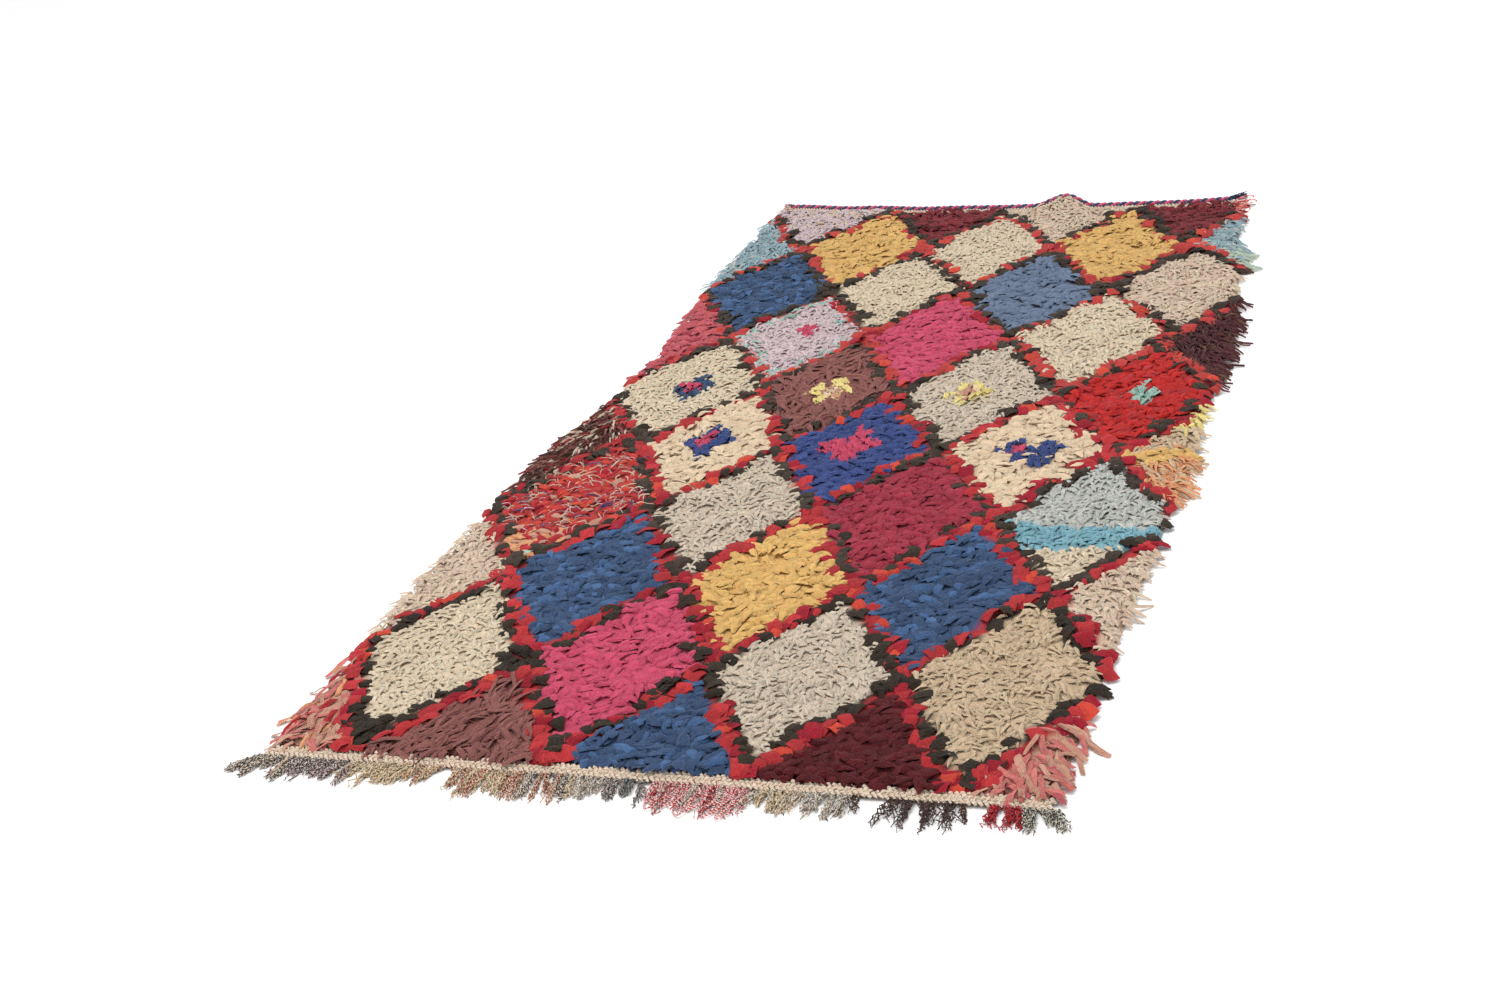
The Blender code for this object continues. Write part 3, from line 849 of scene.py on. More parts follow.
# %% Join laid copies into one piece
Part = namedtuple("Part", "points corners sizes uv tint from_knot")
UV_NAME = "cloth_metres"
UV_EASE = 1.3
UV_SHIFT = 7
SHARP_ANGLE = 38
ALL_SMOOTH = 180


def part_of(shape, knots, sinks=True):
    """Copies of one shape with what the material reads, ready to be joined."""
    points = lay_copies(shape, knots, sinks)
    count, size = points.shape[:2]
    share = np.broadcast_to(shape.points[None, :, 1], (count, size))
    wide = shape.points[None, :, 0] * knots["width"][:, None] + knots["tint"][:, None]
    long = share * UV_EASE * knots["reach"][:, None] + UV_SHIFT * knots["tint"][:, None]
    corners = (shape.corners[None, :] + size * np.arange(count)[:, None]).ravel()
    uv = np.stack((wide, long), axis=-1).reshape(-1, 2)[corners]
    tint = np.repeat(knots["tint"], size)
    return Part(points.reshape(-1, 3), corners, np.tile(shape.sizes, count), uv, tint, share.ravel())


def lay_by_chance(shapes, knots):
    """Parts for knots that lie level, each with one of a few shapes, picked by chance."""
    picks = chance.integers(0, len(shapes), len(knots["x"]))
    return [part_of(shape, pick(knots, picks == number), sinks=False)
            for number, shape in enumerate(shapes)]


def join_parts(name, parts, sharp_angle=SHARP_ANGLE):
    """One mesh object from many parts."""
    firsts = np.cumsum([0] + [len(part.points) for part in parts])
    points = np.concatenate([part.points for part in parts])
    corners = np.concatenate([part.corners + first for part, first in zip(parts, firsts)])
    sizes = np.concatenate([part.sizes for part in parts])
    mesh = bpy.data.meshes.new(name)
    mesh.vertices.add(len(points))
    mesh.vertices.foreach_set("co", points.astype(np.float32).ravel())
    mesh.loops.add(len(corners))
    mesh.loops.foreach_set("vertex_index", corners.astype(np.int32))
    mesh.polygons.add(len(sizes))
    mesh.polygons.foreach_set("loop_start", (np.cumsum(sizes) - sizes).astype(np.int32))
    mesh.update(calc_edges=True)
    uv = np.concatenate([part.uv for part in parts])
    mesh.uv_layers.new(name=UV_NAME).data.foreach_set("uv", uv.astype(np.float32).ravel())
    for title in ("tint", "from_knot"):
        values = np.concatenate([getattr(part, title) for part in parts])
        mesh.attributes.new(title, "FLOAT", "POINT").data.foreach_set("value", values.astype(np.float32))
    mesh.shade_smooth()
    mesh.set_sharp_from_angle(angle=math.radians(sharp_angle))
    piece = bpy.data.objects.new(name, mesh)
    bpy.context.collection.objects.link(piece)
    return piece


def triangles(piece):
    """How many triangles a piece has."""
    return sum(len(face.vertices) - 2 for face in piece.data.polygons)


# %% [markdown]
# ## Materials: node groups that every cloth shares
#
# Two effects repeat in every dye, so each is a node group. The first mixes a dark and a light version of
# the dye by the tuft's own tint, by patches over the rug and by streaks along the scrap, and darkens it
# towards the knot, where little light gets in. The second is the cloth's own surface: the fine ribs of
# jersey, a little fluff, creases and long pleats. The shader itself stays in each material, with plain
# values on its sockets.

# %% Helpers for node trees
def add_node(tree, kind, settings=(), values=()):
    """Adds a node, with its own settings and its sockets' plain values."""
    node = tree.nodes.new(kind)
    for name, value in settings:
        setattr(node, name, value)
    for name, value in values:
        node.inputs[name].default_value = value
    return node


def start_group(name, inputs, outputs):
    """An empty node group with named sockets, and its two ends."""
    group = bpy.data.node_groups.new(name, "ShaderNodeTree")
    for socket, kind in inputs:
        group.interface.new_socket(socket, in_out="INPUT", socket_type=kind)
    for socket, kind in outputs:
        group.interface.new_socket(socket, in_out="OUTPUT", socket_type=kind)
    return group, group.nodes.new("NodeGroupInput"), group.nodes.new("NodeGroupOutput")


def feed(tree, value, socket):
    """Links a socket to another one, or gives it a plain value."""
    if isinstance(value, bpy.types.NodeSocket):
        tree.links.new(value, socket)
    elif value is not None:
        socket.default_value = value


def calculate(tree, operation, first, second=None, third=None):
    """A Math node on sockets or plain numbers. Returns its output."""
    node = add_node(tree, "ShaderNodeMath", [("operation", operation)])
    for number, value in enumerate((first, second, third)):
        feed(tree, value, node.inputs[number])
    return node.outputs[0]


def noise_at(tree, vector, scale, detail, stretch=(1, 1, 1), bend=0):
    """Smooth noise, from 0 to 1, with the place stretched first."""
    placed = add_node(tree, "ShaderNodeMapping", values=[("Scale", stretch)])
    tree.links.new(vector, placed.inputs["Vector"])
    noise = add_node(tree, "ShaderNodeTexNoise", values=[("Detail", detail), ("Distortion", bend)])
    tree.links.new(placed.outputs[0], noise.inputs["Vector"])
    feed(tree, scale, noise.inputs["Scale"])
    return noise.outputs["Fac"]


def mix_between(tree, share, first, second):
    """A colour between two others, which are sockets or plain colours."""
    node = add_node(tree, "ShaderNodeMix", [("data_type", "RGBA"), ("clamp_factor", True)])
    for number, value in ((0, share), (6, first), (7, second)):
        feed(tree, value, node.inputs[number])
    return node.outputs[2]


def split_place(tree, place):
    """The three values of a place."""
    node = add_node(tree, "ShaderNodeSeparateXYZ")
    tree.links.new(place, node.inputs[0])
    return node.outputs


# %% The dyed cloth group
FLOAT = "NodeSocketFloat"
COLOUR = "NodeSocketColor"
VECTOR = "NodeSocketVector"
PATCHES_PER_METRE = 11
STREAKS_PER_METRE = 260
STREAK_STRETCH = (1, 0.16, 1)
TINT_WEIGHT = 0.62
PATCH_WEIGHT = 0.50
STREAK_WEIGHT = 0.50
DARKER_BY = 0.31
KNOT_SHADE = 0.80
KNOT_SHADE_STOPS = 0.50
ROUGH_LEAST = 0.80
ROUGH_STREAKS = 0.15

dyed_cloth, source, target = start_group(
    "dyed cloth",
    [("Place", VECTOR), ("Cloth", VECTOR), ("Tint", FLOAT), ("From Knot", FLOAT), ("Dark", COLOUR),
     ("Light", COLOUR)],
    [("Colour", COLOUR), ("Roughness", FLOAT)])
patches = noise_at(dyed_cloth, source.outputs["Place"], PATCHES_PER_METRE, detail=2)
streaks = noise_at(dyed_cloth, source.outputs["Cloth"], STREAKS_PER_METRE, 3, STREAK_STRETCH)
mixed = calculate(dyed_cloth, "MULTIPLY", source.outputs["Tint"], TINT_WEIGHT)
mixed = calculate(dyed_cloth, "MULTIPLY_ADD", patches, PATCH_WEIGHT, mixed)
mixed = calculate(dyed_cloth, "MULTIPLY_ADD", streaks, STREAK_WEIGHT, mixed)
mixed = calculate(dyed_cloth, "SUBTRACT", mixed, DARKER_BY)
dyed = mix_between(dyed_cloth, mixed, source.outputs["Dark"], source.outputs["Light"])
depth = add_node(
    dyed_cloth, "ShaderNodeMapRange", [("interpolation_type", "SMOOTHSTEP")],
    [("From Min", 0.0), ("From Max", KNOT_SHADE_STOPS), ("To Min", KNOT_SHADE), ("To Max", 1.0)])
dyed_cloth.links.new(source.outputs["From Knot"], depth.inputs["Value"])
shaded = add_node(dyed_cloth, "ShaderNodeVectorMath", [("operation", "SCALE")])
dyed_cloth.links.new(dyed, shaded.inputs[0])
dyed_cloth.links.new(depth.outputs[0], shaded.inputs["Scale"])
dyed_cloth.links.new(shaded.outputs[0], target.inputs["Colour"])
rough = calculate(dyed_cloth, "MULTIPLY_ADD", streaks, ROUGH_STREAKS, ROUGH_LEAST)
dyed_cloth.links.new(rough, target.inputs["Roughness"])

# %% The jersey group
JERSEY_RELIEF = 0.00006
CREASE_RELIEF = 0.012
CREASE_DEPTH = 0.16
CREASE_STRETCH = (1, 0.45, 1)
CREASE_BEND = 1.2
PLEAT_RELIEF = 0.0030
PLEATS_PER_METRE = 380
PLEAT_STRETCH = (1, 0.10, 1)
LOOP_WEIGHT = 0.35
FLUFF_WEIGHT = 3.0
FLUFF_PER_METRE = 420

jersey, source, target = start_group(
    "jersey", [("Cloth", VECTOR), ("Ribs per Metre", FLOAT), ("Creases per Metre", FLOAT)],
    [("Height", FLOAT)])
cloth = source.outputs["Cloth"]
cloth_values = split_place(jersey, cloth)
angle = calculate(jersey, "MULTIPLY", source.outputs["Ribs per Metre"], 2 * math.pi)
ribs = calculate(jersey, "SINE", calculate(jersey, "MULTIPLY", cloth_values[0], angle))
loops = calculate(jersey, "SINE", calculate(jersey, "MULTIPLY", cloth_values[1], angle))
surface = calculate(jersey, "MULTIPLY_ADD", loops, LOOP_WEIGHT, ribs)
fluff = noise_at(jersey, cloth, FLUFF_PER_METRE, detail=4)
surface = calculate(jersey, "MULTIPLY_ADD", fluff, FLUFF_WEIGHT, surface)
surface = calculate(jersey, "MULTIPLY", surface, JERSEY_RELIEF)
rumples = noise_at(jersey, cloth, source.outputs["Creases per Metre"], 2, CREASE_STRETCH, CREASE_BEND)
creases = calculate(jersey, "ABSOLUTE", calculate(jersey, "SUBTRACT", rumples, 0.5))
creases = calculate(jersey, "MINIMUM", creases, CREASE_DEPTH)
surface = calculate(jersey, "MULTIPLY_ADD", creases, CREASE_RELIEF, surface)
pleats = noise_at(jersey, cloth, PLEATS_PER_METRE, 2, PLEAT_STRETCH)
surface = calculate(jersey, "MULTIPLY_ADD", pleats, PLEAT_RELIEF, surface)
jersey.links.new(surface, target.inputs["Height"])
print("Two node groups:", dyed_cloth.name, "and", jersey.name)

# %% [markdown]
# ## One material for each dye
#
# A screen colour is turned into the linear light that a shader works in. The dark and the light version
# lie the same way from the middle, by how much the dye varies. Cotton and wool hardly shine, so the
# finish is rough, with a little sheen for the fluff.

# %% Make a cloth material
EXPOSE = 0.94
BRIGHTEST = 0.92
DARK_SIDE = 1.5
RAG_ROUGHNESS = 0.9
SHEEN_ROUGHNESS = 0.5
GLOW_WEIGHT = 0.4
GLOW_RADIUS = (1.0, 0.6, 0.5)
GLOW_SCALE = 0.004
CLOTH_SHEEN = 0.05
CLOTH_SHINE = 0.08
CLOTH_BUMP = 0.9
RIBS_PER_METRE = 900
CREASES_PER_METRE = 120


def linear(level):
    """A screen level from 0 to 255 as linear light."""
    level = level / 255
    return level / 12.92 if level <= 0.04045 else ((level + 0.055) / 1.055) ** 2.4


def mix_colour(dye, share):
    """A dye made lighter or darker by a share, with its hue kept."""
    return tuple(min(BRIGHTEST, linear(level) * EXPOSE * share) for level in dye[:3]) + (1.0,)


def start_material(name, sheen, shine):
    """A rough material that lets a little light through: itself, its node tree and its shader."""
    material = bpy.data.materials.new(name)
    material.use_nodes = True
    shader = material.node_tree.nodes["Principled BSDF"]
    shader.inputs["Roughness"].default_value = RAG_ROUGHNESS
    shader.inputs["Sheen Weight"].default_value = sheen
    shader.inputs["Sheen Roughness"].default_value = SHEEN_ROUGHNESS
    shader.inputs["Specular IOR Level"].default_value = shine
    shader.inputs["Subsurface Weight"].default_value = GLOW_WEIGHT
    shader.inputs["Subsurface Radius"].default_value = GLOW_RADIUS
    shader.inputs["Subsurface Scale"].default_value = GLOW_SCALE
    return material, material.node_tree, shader


def object_place(tree):
    """Where a point of the piece lies, in metres."""
    return add_node(tree, "ShaderNodeTexCoord").outputs["Object"]


def cloth_map(tree):
    """Where a point lies on its own flat scrap, in metres."""
    return add_node(tree, "ShaderNodeUVMap", [("uv_map", UV_NAME)]).outputs[0]


def read_attribute(tree, name, output):
    """What is written on the piece's points under a name."""
    return add_node(tree, "ShaderNodeAttribute", [("attribute_name", name)]).outputs[output]


def raise_surface(tree, shader, height, strength, distance=1.0):
    """Lets a height show in the shader's normal by way of a Bump node."""
    bump = add_node(tree, "ShaderNodeBump", values=[("Strength", strength), ("Distance", distance)])
    tree.links.new(height, bump.inputs["Height"])
    tree.links.new(bump.outputs[0], shader.inputs["Normal"])


def raise_jersey(tree, shader, cloth, strength):
    """Gives a shader the relief of the jersey group."""
    relief = add_node(tree, "ShaderNodeGroup", [("node_tree", jersey)],
                      [("Ribs per Metre", RIBS_PER_METRE), ("Creases per Metre", CREASES_PER_METRE)])
    tree.links.new(cloth, relief.inputs["Cloth"])
    raise_surface(tree, shader, relief.outputs["Height"], strength)


def cloth_material(name, dye):
    """The finish of all the scraps of one dye."""
    material, tree, shader = start_material(name, CLOTH_SHEEN, CLOTH_SHINE)
    cloth = cloth_map(tree)
    colour = add_node(tree, "ShaderNodeGroup", [("node_tree", dyed_cloth)],
                      [("Dark", mix_colour(dye, 1 - DARK_SIDE * dye.vary)),
                       ("Light", mix_colour(dye, 1 + dye.vary))])
    tree.links.new(object_place(tree), colour.inputs["Place"])
    tree.links.new(cloth, colour.inputs["Cloth"])
    tree.links.new(read_attribute(tree, "tint", "Fac"), colour.inputs["Tint"])
    tree.links.new(read_attribute(tree, "from_knot", "Fac"), colour.inputs["From Knot"])
    tree.links.new(colour.outputs["Colour"], shader.inputs["Base Color"])
    tree.links.new(colour.outputs["Roughness"], shader.inputs["Roughness"])
    raise_jersey(tree, shader, cloth, CLOTH_BUMP)
    return material


DYE_FINISH = {name: cloth_material("dyed_" + name, dye) for name, dye in DYES.items()}
print(len(DYE_FINISH), "cloth materials")

# %% [markdown]
# ## Knotting the shag
#
# Now the rug is knotted, one kind of scrap after another. Each knot takes a dye from its fill's bag of
# rags, and a shape by chance. The copies are gathered by dye, joined, and given their finish. Together
# they stand for the lumpy slab.

# %% Choose the dye of each knot, and hide the imported part each piece stands for
DYE_NAMES = list(DYES)


def choose_dyes(fills):
    """A dye for each knot from its fill's bag of rags, as its place in DYE_NAMES."""
    chosen = np.zeros(len(fills), int)
    for number, fill in enumerate(FILLS.values()):
        here = np.flatnonzero(fills == number)
        shares = np.array(list(fill.dyes.values()), float)
        picks = chance.choice(len(shares), size=len(here), p=shares / shares.sum())
        chosen[here] = np.array([DYE_NAMES.index(dye) for dye in fill.dyes])[picks]
    return chosen


def dress(piece, material, node):
    """Gives a finished piece its material, attaches it to the root body and hides the imported part that it
    stands for.
    """
    piece.data.materials.append(material)
    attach(piece, "root")
    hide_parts(node)


# %% Knot all the tufts
parts_by_dye = {name: [] for name in DYE_NAMES}
tuft_count = 0
for kind_name, shapes in SHAPES.items():
    knots = tie_knots(kind_name)
    dye_numbers = choose_dyes(knots["fill"])
    shape_numbers = chance.integers(0, len(shapes), len(dye_numbers))
    tuft_count += len(dye_numbers)
    for dye_number, dye_name in enumerate(DYE_NAMES):
        for shape_number, shape in enumerate(shapes):
            chosen = (dye_numbers == dye_number) & (shape_numbers == shape_number)
            if chosen.any():
                parts_by_dye[dye_name].append(part_of(shape, pick(knots, chosen)))
print(tuft_count, "tufts")

# %% [markdown]
# The red field at the left was knotted from a printed rag, sprinkled with short pale and blue threads.
# They are laid over its tufts as thin yarn that points every way, and only where the chart has that rag.

# %% Sprinkle threads over the confetti rag
THREADS = 420
THREAD_DYES = ("cream", "cream", "lilac", "pink_cream", "royal_blue")
THREADS_ACROSS = (-0.60, -0.28)
THREADS_ALONG = (-0.62, -0.22)
THREAD_HEIGHT = 0.0128

thread_x = between(*THREADS_ACROSS, THREADS)
thread_y = between(*THREADS_ALONG, THREADS)
threads = {
    "x": thread_x,
    "y": thread_y,
    "heading": between(-math.pi, math.pi, THREADS),
    "reach": between(0.016, 0.034, THREADS),
    "width": between(0.0016, 0.0030, THREADS),
    "base": np.full(THREADS, THREAD_HEIGHT),
    "rise": between(0.0010, 0.0040, THREADS),
    "tip": between(-0.004, 0.001, THREADS),
    "sway": between(-0.012, 0.012, THREADS),
    "roll": between(-1, 1, THREADS),
    "twist": between(-1, 1, THREADS),
    "kink": between(0.001, 0.003, THREADS),
    "waves": between(2.0, 4.0, THREADS),
    "tint": between(0, 1, THREADS),
}
threads = pick(threads, fill_at(thread_x, thread_y) == FILL_NAMES.index("confetti"))
thread_picks = chance.integers(0, len(THREAD_DYES), len(threads["x"]))
for number, dye_name in enumerate(THREAD_DYES):
    parts_by_dye[dye_name].append(part_of(SHAPES["yarn"][0], pick(threads, thread_picks == number)))
print(len(thread_picks), "threads")

# %% Join the tufts of each dye
shag_triangles = 0
for dye_name, parts in parts_by_dye.items():
    piece = join_parts("tufts_" + dye_name, parts)
    dress(piece, DYE_FINISH[dye_name], "shag_rug")
    shag_triangles += triangles(piece)
print("The shag has", shag_triangles, "triangles")

# %% [markdown]
# ## The ground cloth
#
# Under the tufts lies the cloth that they are tied to: a plain weave of dark wool, about two millimetres
# thick. From below, the backs of the knots show through it as small bars of their dye. It is a grid laid
# out over the cloth's outline and over the ruck, and thickened with Solidify.

# %% Helpers for sheets that follow the cloth
def flat_grid(name, columns, rows):
    """A flat grid, and how far across and along it each of its points lies."""
    bpy.ops.object.select_all(action="DESELECT")
    bpy.ops.mesh.primitive_grid_add(x_subdivisions=columns, y_subdivisions=rows, size=1)
    piece = bpy.context.object
    piece.name = name
    flat = np.zeros(len(piece.data.vertices) * 3)
    piece.data.vertices.foreach_get("co", flat)
    flat = flat.reshape(-1, 3) + 0.5
    return piece, flat[:, 0], flat[:, 1]


def lay_sheet(piece, x, y, z, thickness, upwards):
    """Moves a grid's points to their places and thickens it. Returns where its points then are."""
    piece.data.vertices.foreach_set("co", np.stack((x, y, z), axis=-1).ravel())
    thicken = piece.modifiers.new("thicken", "SOLIDIFY")
    thicken.thickness = thickness
    thicken.offset = 1 if upwards else -1
    bpy.ops.object.modifier_apply(modifier=thicken.name)
    piece.data.shade_smooth()
    places = np.array([vert.co for vert in piece.data.vertices])
    return places[:, 0], places[:, 1]


def chart_colours(x, y, share):
    """The dye that the chart gives to each place, made lighter or darker by a share."""
    first_dyes = [next(iter(fill.dyes)) for fill in FILLS.values()]
    return np.array([mix_colour(DYES[name], share) for name in first_dyes])[fill_at(x, y)]


def paint_points(piece, title, colours):
    """Writes a colour on each of a piece's points."""
    piece.data.attributes.new(title, "FLOAT_COLOR", "POINT").data.foreach_set("color", colours.ravel())


# %% Weave the ground cloth
GROUND_COLUMNS = 52
GROUND_ROWS = 112
GROUND_THICKNESS = 0.0022
GROUND_BOTTOM = 0.0005
KNOT_BACK_SHADE = 0.95
BARE_FROM = 0.986
BARE_WOOL = (0.120, 0.080, 0.060, 1)

ground, across, along = flat_grid("ground_cloth", GROUND_COLUMNS, GROUND_ROWS)
ground_x, ground_y = cloth_point(across, along)
ground_z = GROUND_BOTTOM + ruck_lift(ground_x, ground_y)
ground_x, ground_y = lay_sheet(ground, ground_x, ground_y, ground_z, GROUND_THICKNESS, upwards=True)
# The knots' backs take the chart's dye, made a little darker as painted shade for the gaps between the
# tufts.
backs_with_shade = chart_colours(ground_x, ground_y, KNOT_BACK_SHADE)
_, along = cloth_share(ground_x, ground_y)
backs_with_shade[along > BARE_FROM] = BARE_WOOL
paint_points(ground, "knot_back_shaded", backs_with_shade)
print("The ground cloth has", triangles(ground), "triangles")

# %% Finish the ground cloth with its weave and the backs of the knots
WOOL_DARK = (0.050, 0.036, 0.028, 1)
WOOL_LIGHT = (0.120, 0.092, 0.070, 1)
WOOL_BLOTCHES_PER_METRE = 160
WOOL_SHEEN = 0.1
WOOL_SHINE = 0.1
WEFTS_PER_METRE = 140
WARPS_PER_METRE = 110
BACKS_COVER = 0.85
BACKS_WEAVE = 0.15
WEAVE_BUMP = 0.8
WEAVE_RELIEF = 0.001

ground_wool, tree, shader = start_material("ground_wool", WOOL_SHEEN, WOOL_SHINE)
place = object_place(tree)
place_values = split_place(tree, place)
warps, wefts = (
    calculate(tree, "SINE", calculate(tree, "MULTIPLY", place_values[axis], count * 2 * math.pi))
    for axis, count in ((0, WARPS_PER_METRE), (1, WEFTS_PER_METRE)))
weave = calculate(tree, "MULTIPLY", warps, wefts)
wool = mix_between(tree, noise_at(tree, place, WOOL_BLOTCHES_PER_METRE, detail=3), WOOL_DARK, WOOL_LIGHT)
cover = calculate(tree, "MULTIPLY_ADD", weave, BACKS_WEAVE, BACKS_COVER)
shown = mix_between(tree, cover, wool, read_attribute(tree, "knot_back_shaded", "Color"))
tree.links.new(shown, shader.inputs["Base Color"])
raise_surface(tree, shader, weave, WEAVE_BUMP, WEAVE_RELIEF)
dress(ground, ground_wool, "shag_rug")

# %% [markdown]
# ## The imported lower pile
#
# Between the tufts that show, the lower halves of the rags are packed so tightly that a gap never goes down
# to the weave. Nobody sees them one by one, so they are one lumpy bed a little below the tips, dyed like
# the tufts above it but a little darker as painted shade, and thinned out towards the edges. It is a second
# grid over the same outline.

# %% Pack the lower pile
BED_COLUMNS = 78
BED_ROWS = 170
BED_STARTS = (0.003, 0.004)
BED_SPANS = (0.994, 0.972)
BED_RIM_HEIGHT = 0.0042
BED_HEIGHT = 0.0108
BED_LUMPS = 0.0011
BED_RIM = 0.020
BED_THICKNESS = 0.0015
BED_SHADE = 0.92
FLAT_WIDTH = 1.19
FLAT_LENGTH = 2.50

bed, across, along = flat_grid("packed_pile", BED_COLUMNS, BED_ROWS)
bed_x, bed_y = cloth_point(BED_STARTS[0] + BED_SPANS[0] * across, BED_STARTS[1] + BED_SPANS[1] * along)
rim = np.minimum(np.minimum(across, 1 - across) * FLAT_WIDTH, np.minimum(along, 1 - along) * FLAT_LENGTH)
lumps = BED_LUMPS * chance.uniform(-1, 1, len(rim)) + pile_wave(bed_x, bed_y) * BED_HEIGHT
raised = BED_HEIGHT - BED_RIM_HEIGHT + lumps
bed_z = BED_RIM_HEIGHT + raised * ease(0, BED_RIM, rim) + ruck_lift(bed_x, bed_y)
bed_x, bed_y = lay_sheet(bed, bed_x, bed_y, bed_z, BED_THICKNESS, upwards=False)
# The bed takes the chart's dye, made a little darker as painted shade for its place below the tuft tips.
paint_points(bed, "rag_dye_and_shade", chart_colours(bed_x, bed_y, BED_SHADE))
print("The packed pile has", triangles(bed), "triangles")

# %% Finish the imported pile
BED_SHINE = 0.1
BED_BUMP = 0.8

packed_rags, tree, shader = start_material("packed_rags", CLOTH_SHEEN, BED_SHINE)
tree.links.new(read_attribute(tree, "rag_dye_and_shade", "Color"), shader.inputs["Base Color"])
raise_jersey(tree, shader, object_place(tree), BED_BUMP)
dress(bed, packed_rags, "shag_rug")

# %% [markdown]
# ## Yarn
#
# The bands, the fringe and the cord are yarn: two or more strands spun round each other. Where the
# strands differ in colour, the yarn is marled. A third node group winds two colours round each other
# along the yarn and raises the strands between its grooves.

# %% The marled yarn group
YARN_ROUNDS = 300.0
FIRST_COLOUR_BY = 0.35
YARN_TINT_WEIGHT = 0.30
BLOTCH_WEIGHT = 1.2
BLOTCHES_PER_METRE = 90

marled_yarn, source, target = start_group(
    "marled yarn",
    [("Place", VECTOR), ("Cloth", VECTOR), ("Tint", FLOAT), ("First", COLOUR), ("Second", COLOUR),
     ("Twists per Metre", FLOAT), ("Marl", FLOAT)],
    [("Colour", COLOUR), ("Height", FLOAT)])
cloth_values = split_place(marled_yarn, source.outputs["Cloth"])
wound = calculate(marled_yarn, "MULTIPLY", cloth_values[1], source.outputs["Twists per Metre"])
wound = calculate(marled_yarn, "MULTIPLY_ADD", cloth_values[0], YARN_ROUNDS, wound)
strand = calculate(marled_yarn, "SINE", calculate(marled_yarn, "MULTIPLY", wound, 2 * math.pi))
blotches = noise_at(marled_yarn, source.outputs["Place"], BLOTCHES_PER_METRE, detail=2)
blotches = calculate(marled_yarn, "SUBTRACT", blotches, 0.5)
choice = calculate(marled_yarn, "MULTIPLY_ADD", strand, source.outputs["Marl"], FIRST_COLOUR_BY)
choice = calculate(marled_yarn, "MULTIPLY_ADD", source.outputs["Tint"], YARN_TINT_WEIGHT, choice)
choice = calculate(marled_yarn, "MULTIPLY_ADD", blotches, BLOTCH_WEIGHT, choice)
spun = mix_between(marled_yarn, choice, source.outputs["First"], source.outputs["Second"])
marled_yarn.links.new(spun, target.inputs["Colour"])
marled_yarn.links.new(strand, target.inputs["Height"])

# %% Make a yarn material
YARN_SHEEN = 0.15
YARN_SHINE = 0.12
YARN_BUMP = 0.7
YARN_RELIEF = 0.0006


def yarn_material(name, first, second, twists, marl):
    """The finish of one yarn, spun from two colours."""
    material, tree, shader = start_material(name, YARN_SHEEN, YARN_SHINE)
    spun = add_node(tree, "ShaderNodeGroup", [("node_tree", marled_yarn)],
                    [("First", mix_colour(first, 1)), ("Second", mix_colour(second, 1)),
                     ("Twists per Metre", twists), ("Marl", marl)])
    tree.links.new(object_place(tree), spun.inputs["Place"])
    tree.links.new(cloth_map(tree), spun.inputs["Cloth"])
    tree.links.new(read_attribute(tree, "tint", "Fac"), spun.inputs["Tint"])
    tree.links.new(spun.outputs["Colour"], shader.inputs["Base Color"])
    raise_surface(tree, shader, spun.outputs["Height"], YARN_BUMP, YARN_RELIEF)
    return material


# %% A tube along a line of points
def gone_along(points):
    """How far along a line each of its points is."""
    return np.concatenate(([0], np.cumsum(np.linalg.norm(np.diff(points, axis=0), axis=1))))


def resample(points, step):
    """Even steps along a line of points, and how far along each is."""
    at = gone_along(points)
    wanted = np.linspace(0, at[-1], max(2, round(at[-1] / step) + 1))
    return np.stack([np.interp(wanted, at, points[:, axis]) for axis in range(3)], axis=-1), wanted


def tube(points, radius, sides, tint):
    """A closed tube along a line of points, as a part ready to be joined."""
    run = unit(np.gradient(points, axis=0))
    side = unit(np.cross(run, (0, 0, 1.0)))
    up = np.cross(side, run)
    turn = 2 * math.pi * np.arange(sides) / sides
    ring = np.cos(turn)[None, :, None] * side[:, None, :] + np.sin(turn)[None, :, None] * up[:, None, :]
    skin = (points[:, None, :] + ring * radius).reshape(-1, 3)
    gone = gone_along(points)
    last = len(points) - 1
    corners, uv = [], []
    for first in range(last):
        for corner in range(sides):
            following = (corner + 1) % sides
            corners += [first * sides + corner, first * sides + following,
                        (first + 1) * sides + following, (first + 1) * sides + corner]
            around = (corner / sides / YARN_ROUNDS, (corner + 1) / sides / YARN_ROUNDS)
            uv += [(around[0], gone[first]), (around[1], gone[first]),
                   (around[1], gone[first + 1]), (around[0], gone[first + 1])]
    for end, order in ((0, range(sides - 1, -1, -1)), (last, range(sides))):
        corners += [end * sides + corner for corner in order]
        uv += [(corner / sides / YARN_ROUNDS, gone[end]) for corner in order]
    sizes = [4] * (last * sides) + [sides, sides]
    share = np.repeat(gone / gone[-1], sides)
    return Part(skin, np.array(corners), np.array(sizes), np.array(uv), np.full(len(skin), tint), share)


# %% [markdown]
# ## The twined bands
#
# Both ends are locked by twining: two wefts turn round each other over every pair of warps, so the band
# is made of slanting stitches, and two rows that turn opposite ways read as a line of chevrons. One
# stitch is modelled as a plump scrap, pointed at both ends, and laid in rows. The far band is wide and
# flat and lies over the ruck. The near one is narrow and stands up a little.

